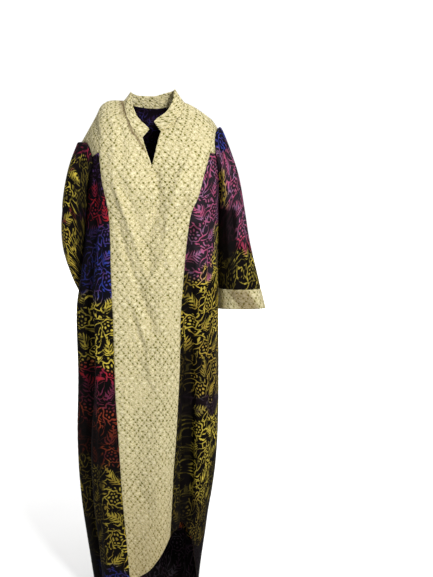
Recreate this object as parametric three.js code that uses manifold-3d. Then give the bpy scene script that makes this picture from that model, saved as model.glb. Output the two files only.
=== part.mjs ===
// A long kaftan as it hangs on a standing wearer: a lace front panel with a yoke and a V slit,
// a stand collar, batik side panels, a batik back and two batik sleeves with lace cuff bands.
// Every piece is a 2 mm wall of cloth cut out of a curved surface, 0.3 mm from its neighbours.
// Millimetres, +Z up, the front faces -Y; the origin is between the shoulders at the neck base.
import * as THREE from 'three';
import { mergeVertices } from 'three/addons/utils/BufferGeometryUtils.js';
import Module from 'manifold-3d';

// ---- driving dimensions ----
const WALL = 2;
const SEAM_GAP = 0.3;
const ARMPIT = 255;            // how far the armpit lies below the neck base
const HEM = 1490;              // the hem at the side seams, below the neck base
// How square the body's level sections are; 2 would make them ellipses.
const SQUARENESS = { shoulders: 4.4, skirt: 2.6, from: 130, to: 400 };
// The round of the shoulders: how far down the cloth reaches its full depth, in the middle and
// at the tips.
const CAP = { front: 300, back: 230, tips: 115, power: 0.62 };
const TIP = { left: 206, right: 182 };                       // shoulder tips, from the middle
const NECK = { left: 84, right: 87, backDrop: 22, power: 0.6 };
const SLEEVE_START = 1.0;      // the sleeve begins this far off the armhole's edge
const ARMPIT_CLEAR = 2.2;      // and at the armpit this far outside it as well
const COLLAR_START = 0.9;      // the collar begins this far off the neckline's edge
const STEP = 1e-3;             // parameter step for tangents
const LEAST_LACE_GAP = 0.06;   // the least share across between the lace's edge and the armhole
const SLIT_DEPTH = 160;        // how far back the slit is cut, through the front only
const NECK_MIDDLE_Y = -10;     // the collar leans towards this line

// how many cells each stretch of cloth has
const CELLS = {
  cap: 10, skirt: 21, side: 11, shoulder: 3, neck: 12, sleeve: 13, cuff: 2, stand: 3,
};
const BACK_SHOULDER_CELLS = 9;

// Level sections of the body: how far it reaches to each side, to the front and to the back.
const SECTIONS = [
  { down: 0, left: 200, right: 184, front: 118, back: 100 },
  { down: 130, left: 192, right: 194, front: 122, back: 108 },
  { down: 255, left: 190, right: 188, front: 128, back: 112 },
  { down: 400, left: 203, right: 187, front: 124, back: 102 },
  { down: 500, left: 216, right: 188, front: 122, back: 102 },
  { down: 600, left: 231, right: 190, front: 120, back: 104 },
  { down: 800, left: 231, right: 193, front: 122, back: 118 },
  { down: 1000, left: 237, right: 192, front: 128, back: 130 },
  { down: 1165, left: 232, right: 178, front: 132, back: 138 },
  { down: 1330, left: 214, right: 151, front: 136, back: 144 },
  { down: 1500, left: 192, right: 132, front: 140, back: 150 },
];

// The line over the shoulders: how far it lies below the neck base, from the left tip to the right.
const RIDGE = [
  { x: -206, down: 110 }, { x: -186, down: 76 }, { x: -162, down: 34 }, { x: -150, down: 10 },
  { x: -127, down: -5 }, { x: -84, down: -6 }, { x: 0, down: -4 }, { x: 87, down: -1 },
  { x: 163, down: 45 }, { x: 182, down: 70 },
];

// How deep the front neckline would dip, at each place across it.
const NECK_DIP = [
  { x: -84, dip: 104 }, { x: -28, dip: 104 }, { x: 19, dip: 82 }, { x: 87, dip: 82 },
];

// The curved seams down the front, from the yoke's corners to the hem.
const LACE_EDGES = [
  { down: 0, left: 140, right: 160 },
  { down: 130, left: 152, right: 160 },
  { down: 199, left: 146, right: 140 },
  { down: 255, left: 133, right: 125 },
  { down: 303, left: 125, right: 109 },
  { down: 376, left: 122, right: 100 },
  { down: 483, left: 121, right: 90 },
  { down: 603, left: 117, right: 81 },
  { down: 814, left: 113, right: 73 },
  { down: 925, left: 108, right: 67 },
  { down: 1063, left: 101, right: 58 },
  { down: 1166, left: 95, right: 53 },
  { down: 1297, left: 85, right: 46 },
  { down: 1500, left: 70, right: 36 },
];
const YOKE_ROWS = 6;           // rows of the cap above the yoke's corners
const ROW_CLOSENESS = 1.35;    // above 1 the cap's rows close up towards the shoulders
const FOLLOWING = 0.35;        // how much its rows keep following the shoulder line

// The front hem, from side seam to side seam: it is raised in an arch over the leading foot.
const FRONT_HEM = [
  { across: -1, down: HEM }, { across: -0.6, down: 1486 }, { across: -0.32, down: 1458 },
  { across: 0.03, down: 1402 }, { across: 0.18, down: 1352 }, { across: 0.24, down: 1322 },
  { across: 0.28, down: 1282 }, { across: 0.33, down: 1264 }, { across: 0.5, down: 1266 },
  { across: 0.58, down: 1300 }, { across: 0.64, down: 1380 }, { across: 0.74, down: 1466 },
  { across: 1, down: HEM },
];
// The back hem hangs lower, as a short train.
const BACK_HEM = [
  { across: -1, down: HEM }, { across: -0.5, down: 1526 }, { across: 0, down: 1540 },
  { across: 0.5, down: 1530 }, { across: 1, down: HEM },
];

// Folds: where each runs across the cloth, at its top and at its foot, how wide it is on the same
// scale, how deep in millimetres at both ends, and between which levels it grows. A negative
// depth is a ridge.
const FRONT_FOLDS = [
  { top: 0.36, foot: 0.5, width: 0.085, from: 10, to: 44, start: 250, full: 1250 },
  { top: 0.62, foot: 0.74, width: 0.13, from: -3, to: -12, start: 330, full: 1100 },
  { top: -0.7, foot: -0.72, width: 0.1, from: 14, to: 34, start: 150, full: 1150 },
  { top: -0.44, foot: -0.5, width: 0.11, from: -3, to: -12, start: 350, full: 1150 },
  { top: -0.02, foot: -0.12, width: 0.12, from: 4, to: 7, start: 200, full: 620 },
  { top: 0.14, foot: 0.1, width: 0.12, from: -2, to: -8, start: 450, full: 1300 },
];
const BACK_FOLDS = [
  { top: -0.72, foot: -0.76, width: 0.12, from: 4, to: 30, start: 420, full: 1350 },
  { top: -0.42, foot: -0.45, width: 0.13, from: -3, to: -16, start: 300, full: 1300 },
  { top: -0.16, foot: -0.2, width: 0.12, from: 7, to: 36, start: 160, full: 1300 },
  { top: 0.1, foot: 0.08, width: 0.12, from: -3, to: -15, start: 260, full: 1250 },
  { top: 0.34, foot: 0.36, width: 0.12, from: 6, to: 32, start: 220, full: 1350 },
  { top: 0.7, foot: 0.72, width: 0.13, from: 3, to: 24, start: 450, full: 1350 },
];

const FOLD_EDGE = 0.84;        // from here to the side seams the folds die out
const FOLD_ONSET = 120;        // the length over which a fold sets in

// How far the armholes cut in from the sides.
const ARMHOLE_CUT = { left: 0.27, right: 0.24, power: 0.6 };

// The sleeve head: how far it first stands out and drops, at the shoulder tip and at the armpit.
const SLEEVE_HEAD = { tip: { out: 16, drop: 9 }, armpit: { out: 8, drop: 12 } };

// Rings of the sleeves: the ring's outer and inner ends, its half width from the middle to the
// front, and how far its front leans down, in degrees. They follow the armhole and the sleeve head.
const RIGHT_SLEEVE = [
  { outX: 239, outY: 2, outZ: -188, inX: 194, inY: 8, inZ: -282, fore: 68, lean: 0 },
  { outX: 262, outY: 6, outZ: -300, inX: 191, inY: 20, inZ: -348, fore: 76, lean: 0 },
  { outX: 283, outY: 8, outZ: -405, inX: 190, inY: 24, inZ: -428, fore: 80, lean: -3 },
  { outX: 306, outY: 8, outZ: -498, inX: 191, inY: 26, inZ: -508, fore: 82, lean: -7 },
  { outX: 317, outY: 10, outZ: -542, inX: 192, inY: 27, inZ: -545, fore: 84, lean: -9 },
  { outX: 326, outY: 12, outZ: -598, inX: 193, inY: 28, inZ: -604, fore: 86, lean: -11 },
];
const LEFT_SLEEVE = [
  { outX: -247, outY: 2, outZ: -188, inX: -197, inY: 4, inZ: -276, fore: 66, lean: 0 },
  { outX: -267, outY: 8, outZ: -296, inX: -202, inY: 18, inZ: -338, fore: 74, lean: 6 },
  { outX: -277, outY: 34, outZ: -398, inX: -210, inY: 42, inZ: -410, fore: 74, lean: 20 },
  { outX: -270, outY: 75, outZ: -493, inX: -204, inY: 69, inZ: -481, fore: 62, lean: 27 },
  { outX: -237, outY: 126, outZ: -577, inX: -175, inY: 114, inZ: -559, fore: 60, lean: 33 },
  { outX: -210, outY: 168, outZ: -630, inX: -150, inY: 152, inZ: -610, fore: 62, lean: 37 },
];

// The V slit, seen from the front, from the left top corner round its foot to the right.
const SLIT = [[-34, -55], [-28, -97], [-3, -169], [19, -76], [26, -40]];

// The stand collar, from its left front edge round the back to its right front edge.
const COLLAR = [
  { along: 0, height: 32, lean: 36 }, { along: 0.12, height: 36, lean: 34 },
  { along: 0.3, height: 32, lean: 40 }, { along: 0.5, height: 38, lean: 22 },
  { along: 0.7, height: 46, lean: 36 }, { along: 0.88, height: 42, lean: 36 },
  { along: 1, height: 36, lean: 36 },
];
// Where the collar's front edges start at the slit, how far its front corners lean over the slit,
// and over what share of its length they do so.
const COLLAR_ENDS = { left: -29.5, right: 20.5, overhang: 13, share: 0.09 };

// ---- tables and small sums ----

// The value of one column of a table at a place, on a smooth curve through its rows.
function look(rows, by, column, at) {
  const last = rows.length - 1;
  if (at <= rows[0][by]) return rows[0][column];
  if (at >= rows[last][by]) return rows[last][column];
  let k = 0;
  while (rows[k + 1][by] < at) k += 1;
  const slope = (a, b) => (rows[b][column] - rows[a][column]) / (rows[b][by] - rows[a][by]);
  const span = rows[k + 1][by] - rows[k][by];
  const m0 = slope(Math.max(k - 1, 0), k + 1) * span;
  const m1 = slope(k, Math.min(k + 2, last)) * span;
  return hermite(rows[k][column], m0, rows[k + 1][column], m1, (at - rows[k][by]) / span);
}

function hermite(p0, m0, p1, m1, t) {
  const s = 1 - t;
  return s * s * (1 + 2 * t) * p0 + s * s * t * m0 + t * t * (3 - 2 * t) * p1 - t * t * s * m1;
}

const mix = (a, b, t) => a + (b - a) * t;
const clamp = (t, low = 0, high = 1) => Math.min(high, Math.max(low, t));
const smooth = (t) => clamp(t) ** 2 * (3 - 2 * clamp(t));
const radians = (degrees) => (degrees * Math.PI) / 180;

// ---- the body's front and back, as functions of two numbers ----
// across runs from -1 at the left side seam to 1 at the right one, down the cloth goes t:
// from 0 at the shoulder or the neckline, through 1 at the armpit, to 2 at the hem.

const sideways = (across) => Math.sin((across * Math.PI) / 2);
const topX = (s) => (s < 0 ? TIP.left * s : TIP.right * s);

// How far below the neck base the cloth's top edge lies, at a place across the shoulders.
function topEdge(x, face) {
  const ridge = look(RIDGE, 'x', 'down', x);
  const half = x < 0 ? NECK.left : NECK.right;
  const inside = clamp(1 - (x / half) ** 2);
  const dip = face === 'front' ? look(NECK_DIP, 'x', 'dip', x) : NECK.backDrop;
  return ridge + dip * inside ** NECK.power;
}

function hemAt(across, face) {
  return look(face === 'front' ? FRONT_HEM : BACK_HEM, 'across', 'down', across);
}

// How far down a row of the cloth lies. The rows follow the top edge first and level out soon.
function level(across, t, face) {
  if (t > 1) return mix(ARMPIT, hemAt(across, face), t - 1);
  const top = topEdge(topX(sideways(across)), face);
  const levelled = (share) => Math.cbrt(Math.max(0, top) ** 3 + (ARMPIT * share) ** 3);
  const begun = levelled(0);
  const even = (levelled(t ** ROW_CLOSENESS) - begun) / (levelled(1) - begun);
  return mix(top, ARMPIT, mix(even, t ** ROW_CLOSENESS, FOLLOWING));
}

// The cloth without its folds.
function plainBody(across, t, face) {
  const s = sideways(across);
  const down = level(across, t, face);
  const left = look(SECTIONS, 'down', 'left', down);
  const right = look(SECTIONS, 'down', 'right', down);
  const x = mix(topX(s), (right - left) / 2 + (s * (right + left)) / 2, smooth(t));
  const reach = look(SECTIONS, 'down', face, down);
  const drop = down - look(RIDGE, 'x', 'down', topX(s));
  const roundness = clamp(drop / mix(CAP[face], CAP.tips, s ** 2));
  const cap = Math.sin((Math.PI / 2) * roundness ** CAP.power);
  const squared = smooth((down - SQUARENESS.from) / (SQUARENESS.to - SQUARENESS.from));
  const power = mix(SQUARENESS.shoulders, SQUARENESS.skirt, squared);
  const side = Math.sqrt(Math.max(0, 1 - Math.abs(s) ** power));
  return new THREE.Vector3(x, (face === 'front' ? -1 : 1) * reach * cap * side, -down);
}

// How far the folds push the cloth in at a place. They die out towards the side seams.
function foldDepth(across, down, face) {
  const fade = 1 - smooth((Math.abs(across) - FOLD_EDGE) / (1 - FOLD_EDGE));
  let depth = 0;
  for (const f of face === 'front' ? FRONT_FOLDS : BACK_FOLDS) {
    const grown = smooth((down - f.start) / (f.full - f.start));
    const middle = mix(f.top, f.foot, clamp((down - f.start) / (HEM - f.start)));
    const begun = smooth((down - f.start) / FOLD_ONSET + 0.5);
    depth += begun * mix(f.from, f.to, grown) * Math.exp(-(((across - middle) / f.width) ** 2));
  }
  return depth * fade;
}

// The unit normal of a surface function at a place, pointing away from the wearer.
function normalOf(surface, u, v, range, flip) {
  const u0 = Math.max(u - STEP, range.u0);
  const u1 = Math.min(u + STEP, range.u1);
  const v0 = Math.max(v - STEP, range.v0);
  const v1 = Math.min(v + STEP, range.v1);
  const du = surface(u1, v).sub(surface(u0, v));
  const dv = surface(u, v1).sub(surface(u, v0));
  const normal = du.cross(dv).normalize();
  return flip ? normal.negate() : normal;
}

const BODY_RANGE = { u0: -1, u1: 1, v0: 0, v1: 2 };

function foldedBody(across, t, face) {
  const plain = (u, v) => plainBody(u, v, face);
  const point = plain(across, t);
  const push = foldDepth(across, -point.z, face);
  if (Math.abs(push) < 1e-6) return point;
  const normal = normalOf(plain, across, t, BODY_RANGE, face === 'front');
  normal.z = 0;
  return point.addScaledVector(normal.normalize(), -push);
}

// ---- walls of cloth cut from a grid of cells ----

const rowsDown = () => {
  const rows = [];
  for (let j = 0; j <= CELLS.cap; j += 1) rows.push(j / CELLS.cap);
  for (let j = 1; j <= CELLS.skirt; j += 1) rows.push(1 + j / CELLS.skirt);
  return rows;
};

// How far across the front or back reaches at a row: less than 1 along the armhole.
function reachAcross(t, side) {
  if (t >= 1) return 1;
  const edge = side === 'left' ? -1 : 1;
  const top = level(edge, 0, 'front');
  const fallen = (level(edge, t, 'front') - top) / (ARMPIT - top);
  return 1 - ARMHOLE_CUT[side] * Math.sin(Math.PI * fallen ** ARMHOLE_CUT.power);
}

// The place across of the lace's edge at a row.
function laceEdge(t, side) {
  const sign = side === 'left' ? -1 : 1;
  let across = 0.5 * sign;
  for (let tries = 0; tries < 12; tries += 1) {
    const here = plainBody(across, t, 'front');
    const wanted = sign * look(LACE_EDGES, 'down', side, -here.z);
    const slope = (plainBody(across + STEP, t, 'front').x - here.x) / STEP;
    across = clamp(across + (wanted - here.x) / slope, -0.97, 0.97);
  }
  return sign * Math.min(Math.abs(across), reachAcross(t, side) - LEAST_LACE_GAP);
}

// Even steps from one number towards another, without the last.
function spread(from, to, cells) {
  return Array.from({ length: cells }, (_, i) => mix(from, to, i / cells));
}

const acrossOf = (x) => (2 / Math.PI) * Math.asin(x / (x < 0 ? TIP.left : TIP.right));

// The body's normal; on the shoulder line it stands straight up from both faces.
function bodyNormal(across, t, face) {
  const surface = (u, v) => foldedBody(u, v, face);
  const normal = normalOf(surface, across, t, BODY_RANGE, face === 'front');
  const x = topX(sideways(across));
  if (t > 0 || (x > -NECK.left + 1e-6 && x < NECK.right - 1e-6)) return normal;
  const slope = (look(RIDGE, 'x', 'down', x + 1) - look(RIDGE, 'x', 'down', x - 1)) / 2;
  return new THREE.Vector3(slope, 0, 1).normalize();
}

// Places across a stretch of cloth that holds the neck: at the top they close up towards the
// neck's sides, and further down they spread out evenly.
function acrossNeck(from, to, t, shoulderCells) {
  const necks = [acrossOf(-NECK.left), acrossOf(NECK.right)];
  const round = (i) => mix(necks[0], necks[1], 0.5 - 0.5 * Math.cos((Math.PI * i) / CELLS.neck));
  const top = [
    ...spread(from, necks[0], shoulderCells),
    ...Array.from({ length: CELLS.neck }, (_, i) => round(i)),
    ...spread(necks[1], to, shoulderCells)];
  const even = spread(from, to, top.length);
  return top.map((place, i) => mix(place, even[i], smooth(t)));
}

// A grid holds a point and a normal for each corner of its cells.
function bodyGrid(face) {
  return rowsDown().map((t) => {
    const left = -reachAcross(t, 'left');
    const right = reachAcross(t, 'right');
    const places = face === 'back' ? [...acrossNeck(left, right, t, BACK_SHOULDER_CELLS), right] : [
      ...spread(left, laceEdge(t, 'left'), CELLS.side),
      ...acrossNeck(laceEdge(t, 'left'), laceEdge(t, 'right'), t, CELLS.shoulder),
      ...spread(laceEdge(t, 'right'), right, CELLS.side), right];
    return places.map((u) => ({ point: foldedBody(u, t, face), normal: bodyNormal(u, t, face) }));
  });
}

// The wall over the chosen cells, as one closed geometry. Edges are drawn in by half a seam gap.
function wall(grid, chosen, wrapped = false) {
  const rows = grid.length - 1;
  const columns = grid[0].length - (wrapped ? 0 : 1);
  const turn = (i) => (wrapped ? (i + columns) % columns : i);
  const inside = (j, i) => j >= 0 && j < rows && (wrapped || (i >= 0 && i < columns));
  const has = (j, i) => inside(j, i) && chosen(j, turn(i));
  const at = (j, i) => grid[j][turn(i)];
  const positions = [];
  const index = [];
  const made = new Map();
  const along = (j, i, dj, di) => {
    const fits = (a, b) => a >= 0 && a <= rows && (wrapped || (b >= 0 && b <= columns));
    const ahead = fits(j + dj, i + di) ? at(j + dj, i + di).point : at(j, i).point;
    const behind = fits(j - dj, i - di) ? at(j - dj, i - di).point : at(j, i).point;
    return ahead.clone().sub(behind).normalize();
  };
  const corner = (j, i, side) => {
    const key = `${j} ${turn(i)} ${side}`;
    if (made.has(key)) return made.get(key);
    let towardI = 0;
    let towardJ = 0;
    for (const [b, a] of [[0, 0], [0, -1], [-1, 0], [-1, -1]]) {
      if (!has(j + b, i + a)) continue;
      towardI += a === 0 ? 1 : -1;
      towardJ += b === 0 ? 1 : -1;
    }
    const point = at(j, i).point.clone();
    const across = along(j, i, 0, 1);
    const down = along(j, i, 1, 0);
    const half = SEAM_GAP / 2 / Math.sqrt(Math.max(0.15, 1 - across.dot(down) ** 2));
    point.addScaledVector(across, Math.sign(towardI) * half);
    point.addScaledVector(down, Math.sign(towardJ) * half);
    point.addScaledVector(at(j, i).normal, (side * WALL) / 2);
    positions.push(point.x, point.y, point.z);
    made.set(key, positions.length / 3 - 1);
    return made.get(key);
  };
  const quad = (a, b, c, d) => index.push(a, b, c, a, c, d);
  for (let j = 0; j < rows; j += 1) {
    for (let i = 0; i < columns; i += 1) {
      if (!has(j, i)) continue;
      const ring = [[j, i], [j + 1, i], [j + 1, i + 1], [j, i + 1]];
      const beyond = [[j, i - 1], [j + 1, i], [j, i + 1], [j - 1, i]];
      const outer = ring.map(([b, a]) => corner(b, a, 1));
      const inner = ring.map(([b, a]) => corner(b, a, -1));
      quad(...outer);
      quad(...inner.slice().reverse());
      beyond.forEach(([b, a], k) => {
        if (!has(b, a)) quad(outer[(k + 1) % 4], outer[k], inner[k], inner[(k + 1) % 4]);
      });
    }
  }
  return facingOut(positions, index);
}

// A closed geometry whose faces point out, whichever way its grid runs.
function facingOut(positions, index) {
  let volume = 0;
  const corners = index.map((k) => new THREE.Vector3().fromArray(positions, 3 * k));
  for (let n = 0; n < corners.length; n += 3) {
    volume += corners[n].dot(corners[n + 1].clone().cross(corners[n + 2]));
  }
  if (volume < 0) index.reverse();
  const geometry = new THREE.BufferGeometry();
  geometry.setAttribute('position', new THREE.Float32BufferAttribute(positions, 3));
  geometry.setIndex(index);
  return geometry;
}

// ---- the sleeves ----

// The armhole's loop: angle 0 is the shoulder tip, a half turn is the armpit, the front comes first.
function armhole(angle, side) {
  const sign = side === 'left' ? -1 : 1;
  const face = angle <= Math.PI ? 'front' : 'back';
  const t = face === 'front' ? angle / Math.PI : 2 - angle / Math.PI;
  return foldedBody(sign * reachAcross(t, side), t, face);
}

function sleeveHead(angle, side) {
  const low = 0.5 - Math.cos(angle) / 2;
  const out = mix(SLEEVE_HEAD.tip.out, SLEEVE_HEAD.armpit.out, low);
  const drop = mix(SLEEVE_HEAD.tip.drop, SLEEVE_HEAD.armpit.drop, low);
  return armhole(angle, side).add(new THREE.Vector3(side === 'left' ? -out : out, 0, -drop));
}

function ringPoint(ring, angle) {
  const outer = new THREE.Vector3(ring.outX, ring.outY, ring.outZ);
  const inner = new THREE.Vector3(ring.inX, ring.inY, ring.inZ);
  const middle = outer.clone().add(inner).multiplyScalar(0.5);
  const lean = radians(ring.lean);
  const fore = new THREE.Vector3(0, -Math.cos(lean), -Math.sin(lean));
  middle.addScaledVector(outer.sub(inner), Math.cos(angle) / 2);
  return middle.addScaledVector(fore, ring.fore * Math.sin(angle));
}

// A sleeve's surface: each lengthwise thread is a smooth curve through the rings.
function sleevePoint(rings, side, angle, t) {
  const stations = [armhole(angle, side), sleeveHead(angle, side)];
  stations.push(...rings.map((ring) => ringPoint(ring, angle)));
  const last = stations.length - 1;
  const place = clamp(t) * last;
  const k = Math.min(Math.floor(place), last - 1);
  const slope = (a, b) => stations[b].clone().sub(stations[a]).multiplyScalar(1 / (b - a));
  const m0 = slope(Math.max(k - 1, 0), k + 1);
  const m1 = slope(k, Math.min(k + 2, last));
  const [from, to] = [stations[k], stations[k + 1]];
  const along = (c) => hermite(from[c], m0[c], to[c], m1[c], place - k);
  return new THREE.Vector3(along('x'), along('y'), along('z'));
}

function sleeveGrid(rings, side) {
  const columns = 2 * CELLS.cap;
  const surface = (u, v) => sleevePoint(rings, side, (u + 2 * Math.PI) % (2 * Math.PI), v);
  const range = { u0: -1, u1: 7, v0: 0, v1: 1 };
  const cuffTop = rings.length / (rings.length + 1);
  const stations = [...spread(0, cuffTop, CELLS.sleeve), ...spread(cuffTop, 1, CELLS.cuff), 1];
  return stations.map((t, j) => Array.from({ length: columns }, (_, i) => {
    const angle = (i * 2 * Math.PI) / columns;
    const point = surface(angle, t);
    if (j === 0) {
      point.addScaledVector(surface(angle, 0.02).sub(point).normalize(), SLEEVE_START);
      point.x += (side === 'left' ? -1 : 1) * ARMPIT_CLEAR * (0.5 - Math.cos(angle) / 2) ** 2;
    }
    return { point, normal: normalOf(surface, angle, t, range, side === 'right') };
  }));
}

// ---- the collar ----

// The neckline from the slit's left edge round the back of the neck to its right edge.
function neckline(front, back) {
  const inNeck = ({ point }) => point.x > -NECK.left - 1e-3 && point.x < NECK.right + 1e-3;
  const ahead = front[0].filter(inNeck).map(({ point }) => point);
  const behind = back[0].filter(inNeck).map(({ point }) => point).slice(1, -1);
  const at = (x) => {
    const k = ahead.findIndex((point) => point.x > x);
    const share = (x - ahead[k - 1].x) / (ahead[k].x - ahead[k - 1].x);
    return ahead[k - 1].clone().lerp(ahead[k], share);
  };
  const left = ahead.filter((point) => point.x < COLLAR_ENDS.left - 1).reverse();
  const right = ahead.filter((point) => point.x > COLLAR_ENDS.right + 1).reverse();
  return [at(COLLAR_ENDS.left), ...left, ...behind, ...right, at(COLLAR_ENDS.right)];
}

function collarGrid(front, back) {
  const line = neckline(front, back);
  const runs = [0];
  line.slice(1).forEach((point, k) => runs.push(runs[k] + point.distanceTo(line[k])));
  const whole = runs[runs.length - 1];
  const points = spread(0, 1, CELLS.stand).concat(1).map((v) => line.map((base, i) => {
    const along = runs[i] / whole;
    const inward = new THREE.Vector3(-base.x, NECK_MIDDLE_Y - base.y, 0).normalize();
    const lean = radians(look(COLLAR, 'along', 'lean', along));
    const end = clamp(Math.min(along, 1 - along) / COLLAR_ENDS.share);
    const rounded = 0.8 + 0.2 * Math.sqrt(1 - (1 - end) ** 2);
    const height = COLLAR_START + look(COLLAR, 'along', 'height', along) * rounded * v;
    const point = base.clone().addScaledVector(inward, Math.sin(lean) * height);
    point.z += Math.cos(lean) * height;
    point.x += (along < 0.5 ? 1 : -1) * COLLAR_ENDS.overhang * (1 - smooth(end)) * v;
    return point;
  }));
  return withNormals(points);
}

// A grid of points with the normals that its own neighbours give.
function withNormals(points) {
  const at = (j, i) => points[clamp(j, 0, points.length - 1)][clamp(i, 0, points[0].length - 1)];
  return points.map((row, j) => row.map((point, i) => {
    const across = at(j, i + 1).clone().sub(at(j, i - 1));
    const down = at(j + 1, i).clone().sub(at(j - 1, i));
    return { point, normal: across.cross(down).normalize() };
  }));
}

// ---- solids ----
const wasm = await Module();
wasm.setup();

function toSolid(geometry) {
  const plain = geometry.clone();
  plain.deleteAttribute('normal');
  plain.deleteAttribute('uv');
  const merged = mergeVertices(plain, 1e-4);
  const vertProperties = new Float32Array(merged.attributes.position.array);
  const triVerts = new Uint32Array(merged.index.array);
  return new wasm.Manifold(new wasm.Mesh({ numProp: 3, vertProperties, triVerts }));
}

function toGeometry(solid) {
  const mesh = solid.getMesh();
  const geometry = new THREE.BufferGeometry();
  geometry.setAttribute('position', new THREE.Float32BufferAttribute(mesh.vertProperties, 3));
  geometry.setIndex(Array.from(mesh.triVerts));
  return geometry;
}

// The wedge of air in the V slit, deep enough to pass through the front only.
function slitWedge() {
  const outline = new THREE.Shape(SLIT.map(([x, z]) => new THREE.Vector2(x, z)));
  const wedge = new THREE.ExtrudeGeometry(outline, { depth: SLIT_DEPTH, bevelEnabled: false });
  return wedge.rotateX(Math.PI / 2);
}

// ---- the object ----
const LACE = { color: 0xe9e0a8, roughness: 0.8, metalness: 0 };
const BATIK = { color: 0x1d1718, roughness: 0.7, metalness: 0 };
const kaftan = new THREE.Group();

function piece(name, geometry, finish) {
  const mesh = new THREE.Mesh(geometry, new THREE.MeshStandardMaterial(finish));
  mesh.name = name;
  kaftan.add(mesh);
}

const front = bodyGrid('front');
const back = bodyGrid('back');
const firstLace = CELLS.side;
const lastLace = firstLace + 2 * CELLS.shoulder + CELLS.neck;
const isLace = (j, i) => j < YOKE_ROWS || (i >= firstLace && i < lastLace);
const laceFront = toSolid(wall(front, isLace)).subtract(toSolid(slitWedge()));
piece('front_lace_panel', toGeometry(laceFront), LACE);
piece('front_side_panel_right', wall(front, (j, i) => i < firstLace && !isLace(j, i)), BATIK);
piece('front_side_panel_left', wall(front, (j, i) => i >= lastLace && !isLace(j, i)), BATIK);
piece('back_panel', wall(back, () => true), BATIK);
piece('stand_collar', wall(collarGrid(front, back), () => true), LACE);

// The pieces are named for the wearer's sides: the wearer's right is at -X.
const SLEEVES = [['left', 'right', LEFT_SLEEVE], ['right', 'left', RIGHT_SLEEVE]];
for (const [side, wearers, rings] of SLEEVES) {
  const grid = sleeveGrid(rings, side);
  piece(`sleeve_${wearers}`, wall(grid, (j) => j < CELLS.sleeve, true), BATIK);
  piece(`cuff_band_${wearers}`, wall(grid, (j) => j >= CELLS.sleeve, true), LACE);
}

export default kaftan;
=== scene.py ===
# %% [markdown]
# # A kaftan in Blender
# A long kaftan: a cream lace front with a yoke, a V slit and a stand collar, and batik side
# panels, back and sleeves with lace cuff bands. The solid model comes in first and stays as the
# fixed frame. Each piece of cloth is then made again as a thin sheet on the same surface, with
# finer folds, seams, stitches and its own finish.

# %% The frame
import math
import bpy
import numpy as np
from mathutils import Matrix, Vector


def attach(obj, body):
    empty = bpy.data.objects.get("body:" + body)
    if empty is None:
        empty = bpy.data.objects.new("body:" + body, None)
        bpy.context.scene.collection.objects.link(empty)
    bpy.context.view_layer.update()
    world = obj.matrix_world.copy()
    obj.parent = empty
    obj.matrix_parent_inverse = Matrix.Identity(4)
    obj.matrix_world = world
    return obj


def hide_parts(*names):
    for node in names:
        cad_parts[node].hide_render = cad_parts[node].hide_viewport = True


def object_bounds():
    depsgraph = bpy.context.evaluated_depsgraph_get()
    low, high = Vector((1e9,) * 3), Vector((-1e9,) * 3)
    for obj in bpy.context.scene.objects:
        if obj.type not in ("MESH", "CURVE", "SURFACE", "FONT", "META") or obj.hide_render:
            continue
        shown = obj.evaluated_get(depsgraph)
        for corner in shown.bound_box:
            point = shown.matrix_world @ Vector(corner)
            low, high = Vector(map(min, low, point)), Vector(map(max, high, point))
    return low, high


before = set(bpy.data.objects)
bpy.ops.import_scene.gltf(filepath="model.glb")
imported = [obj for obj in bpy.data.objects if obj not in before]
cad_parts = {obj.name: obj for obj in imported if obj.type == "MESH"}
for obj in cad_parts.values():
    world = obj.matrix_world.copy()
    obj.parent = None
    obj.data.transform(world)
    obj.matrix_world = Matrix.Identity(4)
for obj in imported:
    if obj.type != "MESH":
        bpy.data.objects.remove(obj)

cad_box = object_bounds()
print("solid model's box:", [tuple(round(v, 3) for v in corner) for corner in cad_box])

# %% [markdown]
# ## Camera and light
# The garment is seen from the front, from about neck height and tipped down 12.5 degrees. Dark
# folds beside pale lace need soft light. One large lamp could give it, but would flatten the
# folds, so a smaller lamp stands high on the right, a weak wide one low on the left, and a third
# one lights the floor behind. A pale sky fills the shadows.

# %% Camera
def put_in_scene(name, data):
    """A new object that shows the data, unturned at the origin of the shared frame."""
    thing = bpy.data.objects.new(name, data)
    bpy.context.scene.collection.objects.link(thing)
    return thing


TIPPED_DOWN = 12.5
eye = bpy.data.cameras.new("camera")
eye.lens = 58.09
eye.shift_x = 0.078
camera = put_in_scene("camera", eye)
camera.location = (0.051, -2.70, 0.058)
camera.rotation_euler = (math.radians(90 - TIPPED_DOWN), 0, 0)
bpy.context.scene.camera = camera

# %% Light
def soft_lamp(name, place, aim, size, power):
    """A square lamp at a place, turned so that it shines at the aim."""
    lamp = bpy.data.lights.new(name, "AREA")
    lamp.size = size
    lamp.energy = power
    holder = put_in_scene(name, lamp)
    holder.location = place
    away = np.array(aim, float) - np.array(place, float)
    holder.rotation_euler = (
        math.atan2(math.hypot(away[0], away[1]), -away[2]), 0, math.atan2(away[0], -away[1]) + math.pi)


soft_lamp("key lamp", (1.1, -2.4, 1.2), (0, 0, 0.8), 0.6, 99)
soft_lamp("fill lamp", (-1.6, -2.8, 0.3), (0, 0, -0.7), 1.8, 6)
soft_lamp("floor lamp", (0, 4.2, 2.4), (0, 4.4, -1.5), 5.0, 420)
bpy.context.scene.view_settings.view_transform = "Standard"

# %% [markdown]
# ## Small helpers
# A table holds the garment's measured stations as named columns, and a smooth curve runs through
# its rows. These are the same sizes as in the solid model, in millimetres, so the sheets lie
# where the solids are. The solids' own faces could be bent instead, but they are too coarse for
# fine folds, and a formula can be asked for any place on the cloth.

# %% Tables and sums
MM = 0.001


def table(columns, *rows):
    """Rows of numbers as named columns."""
    return dict(zip(columns.split(), np.array(rows, float).T))


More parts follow.
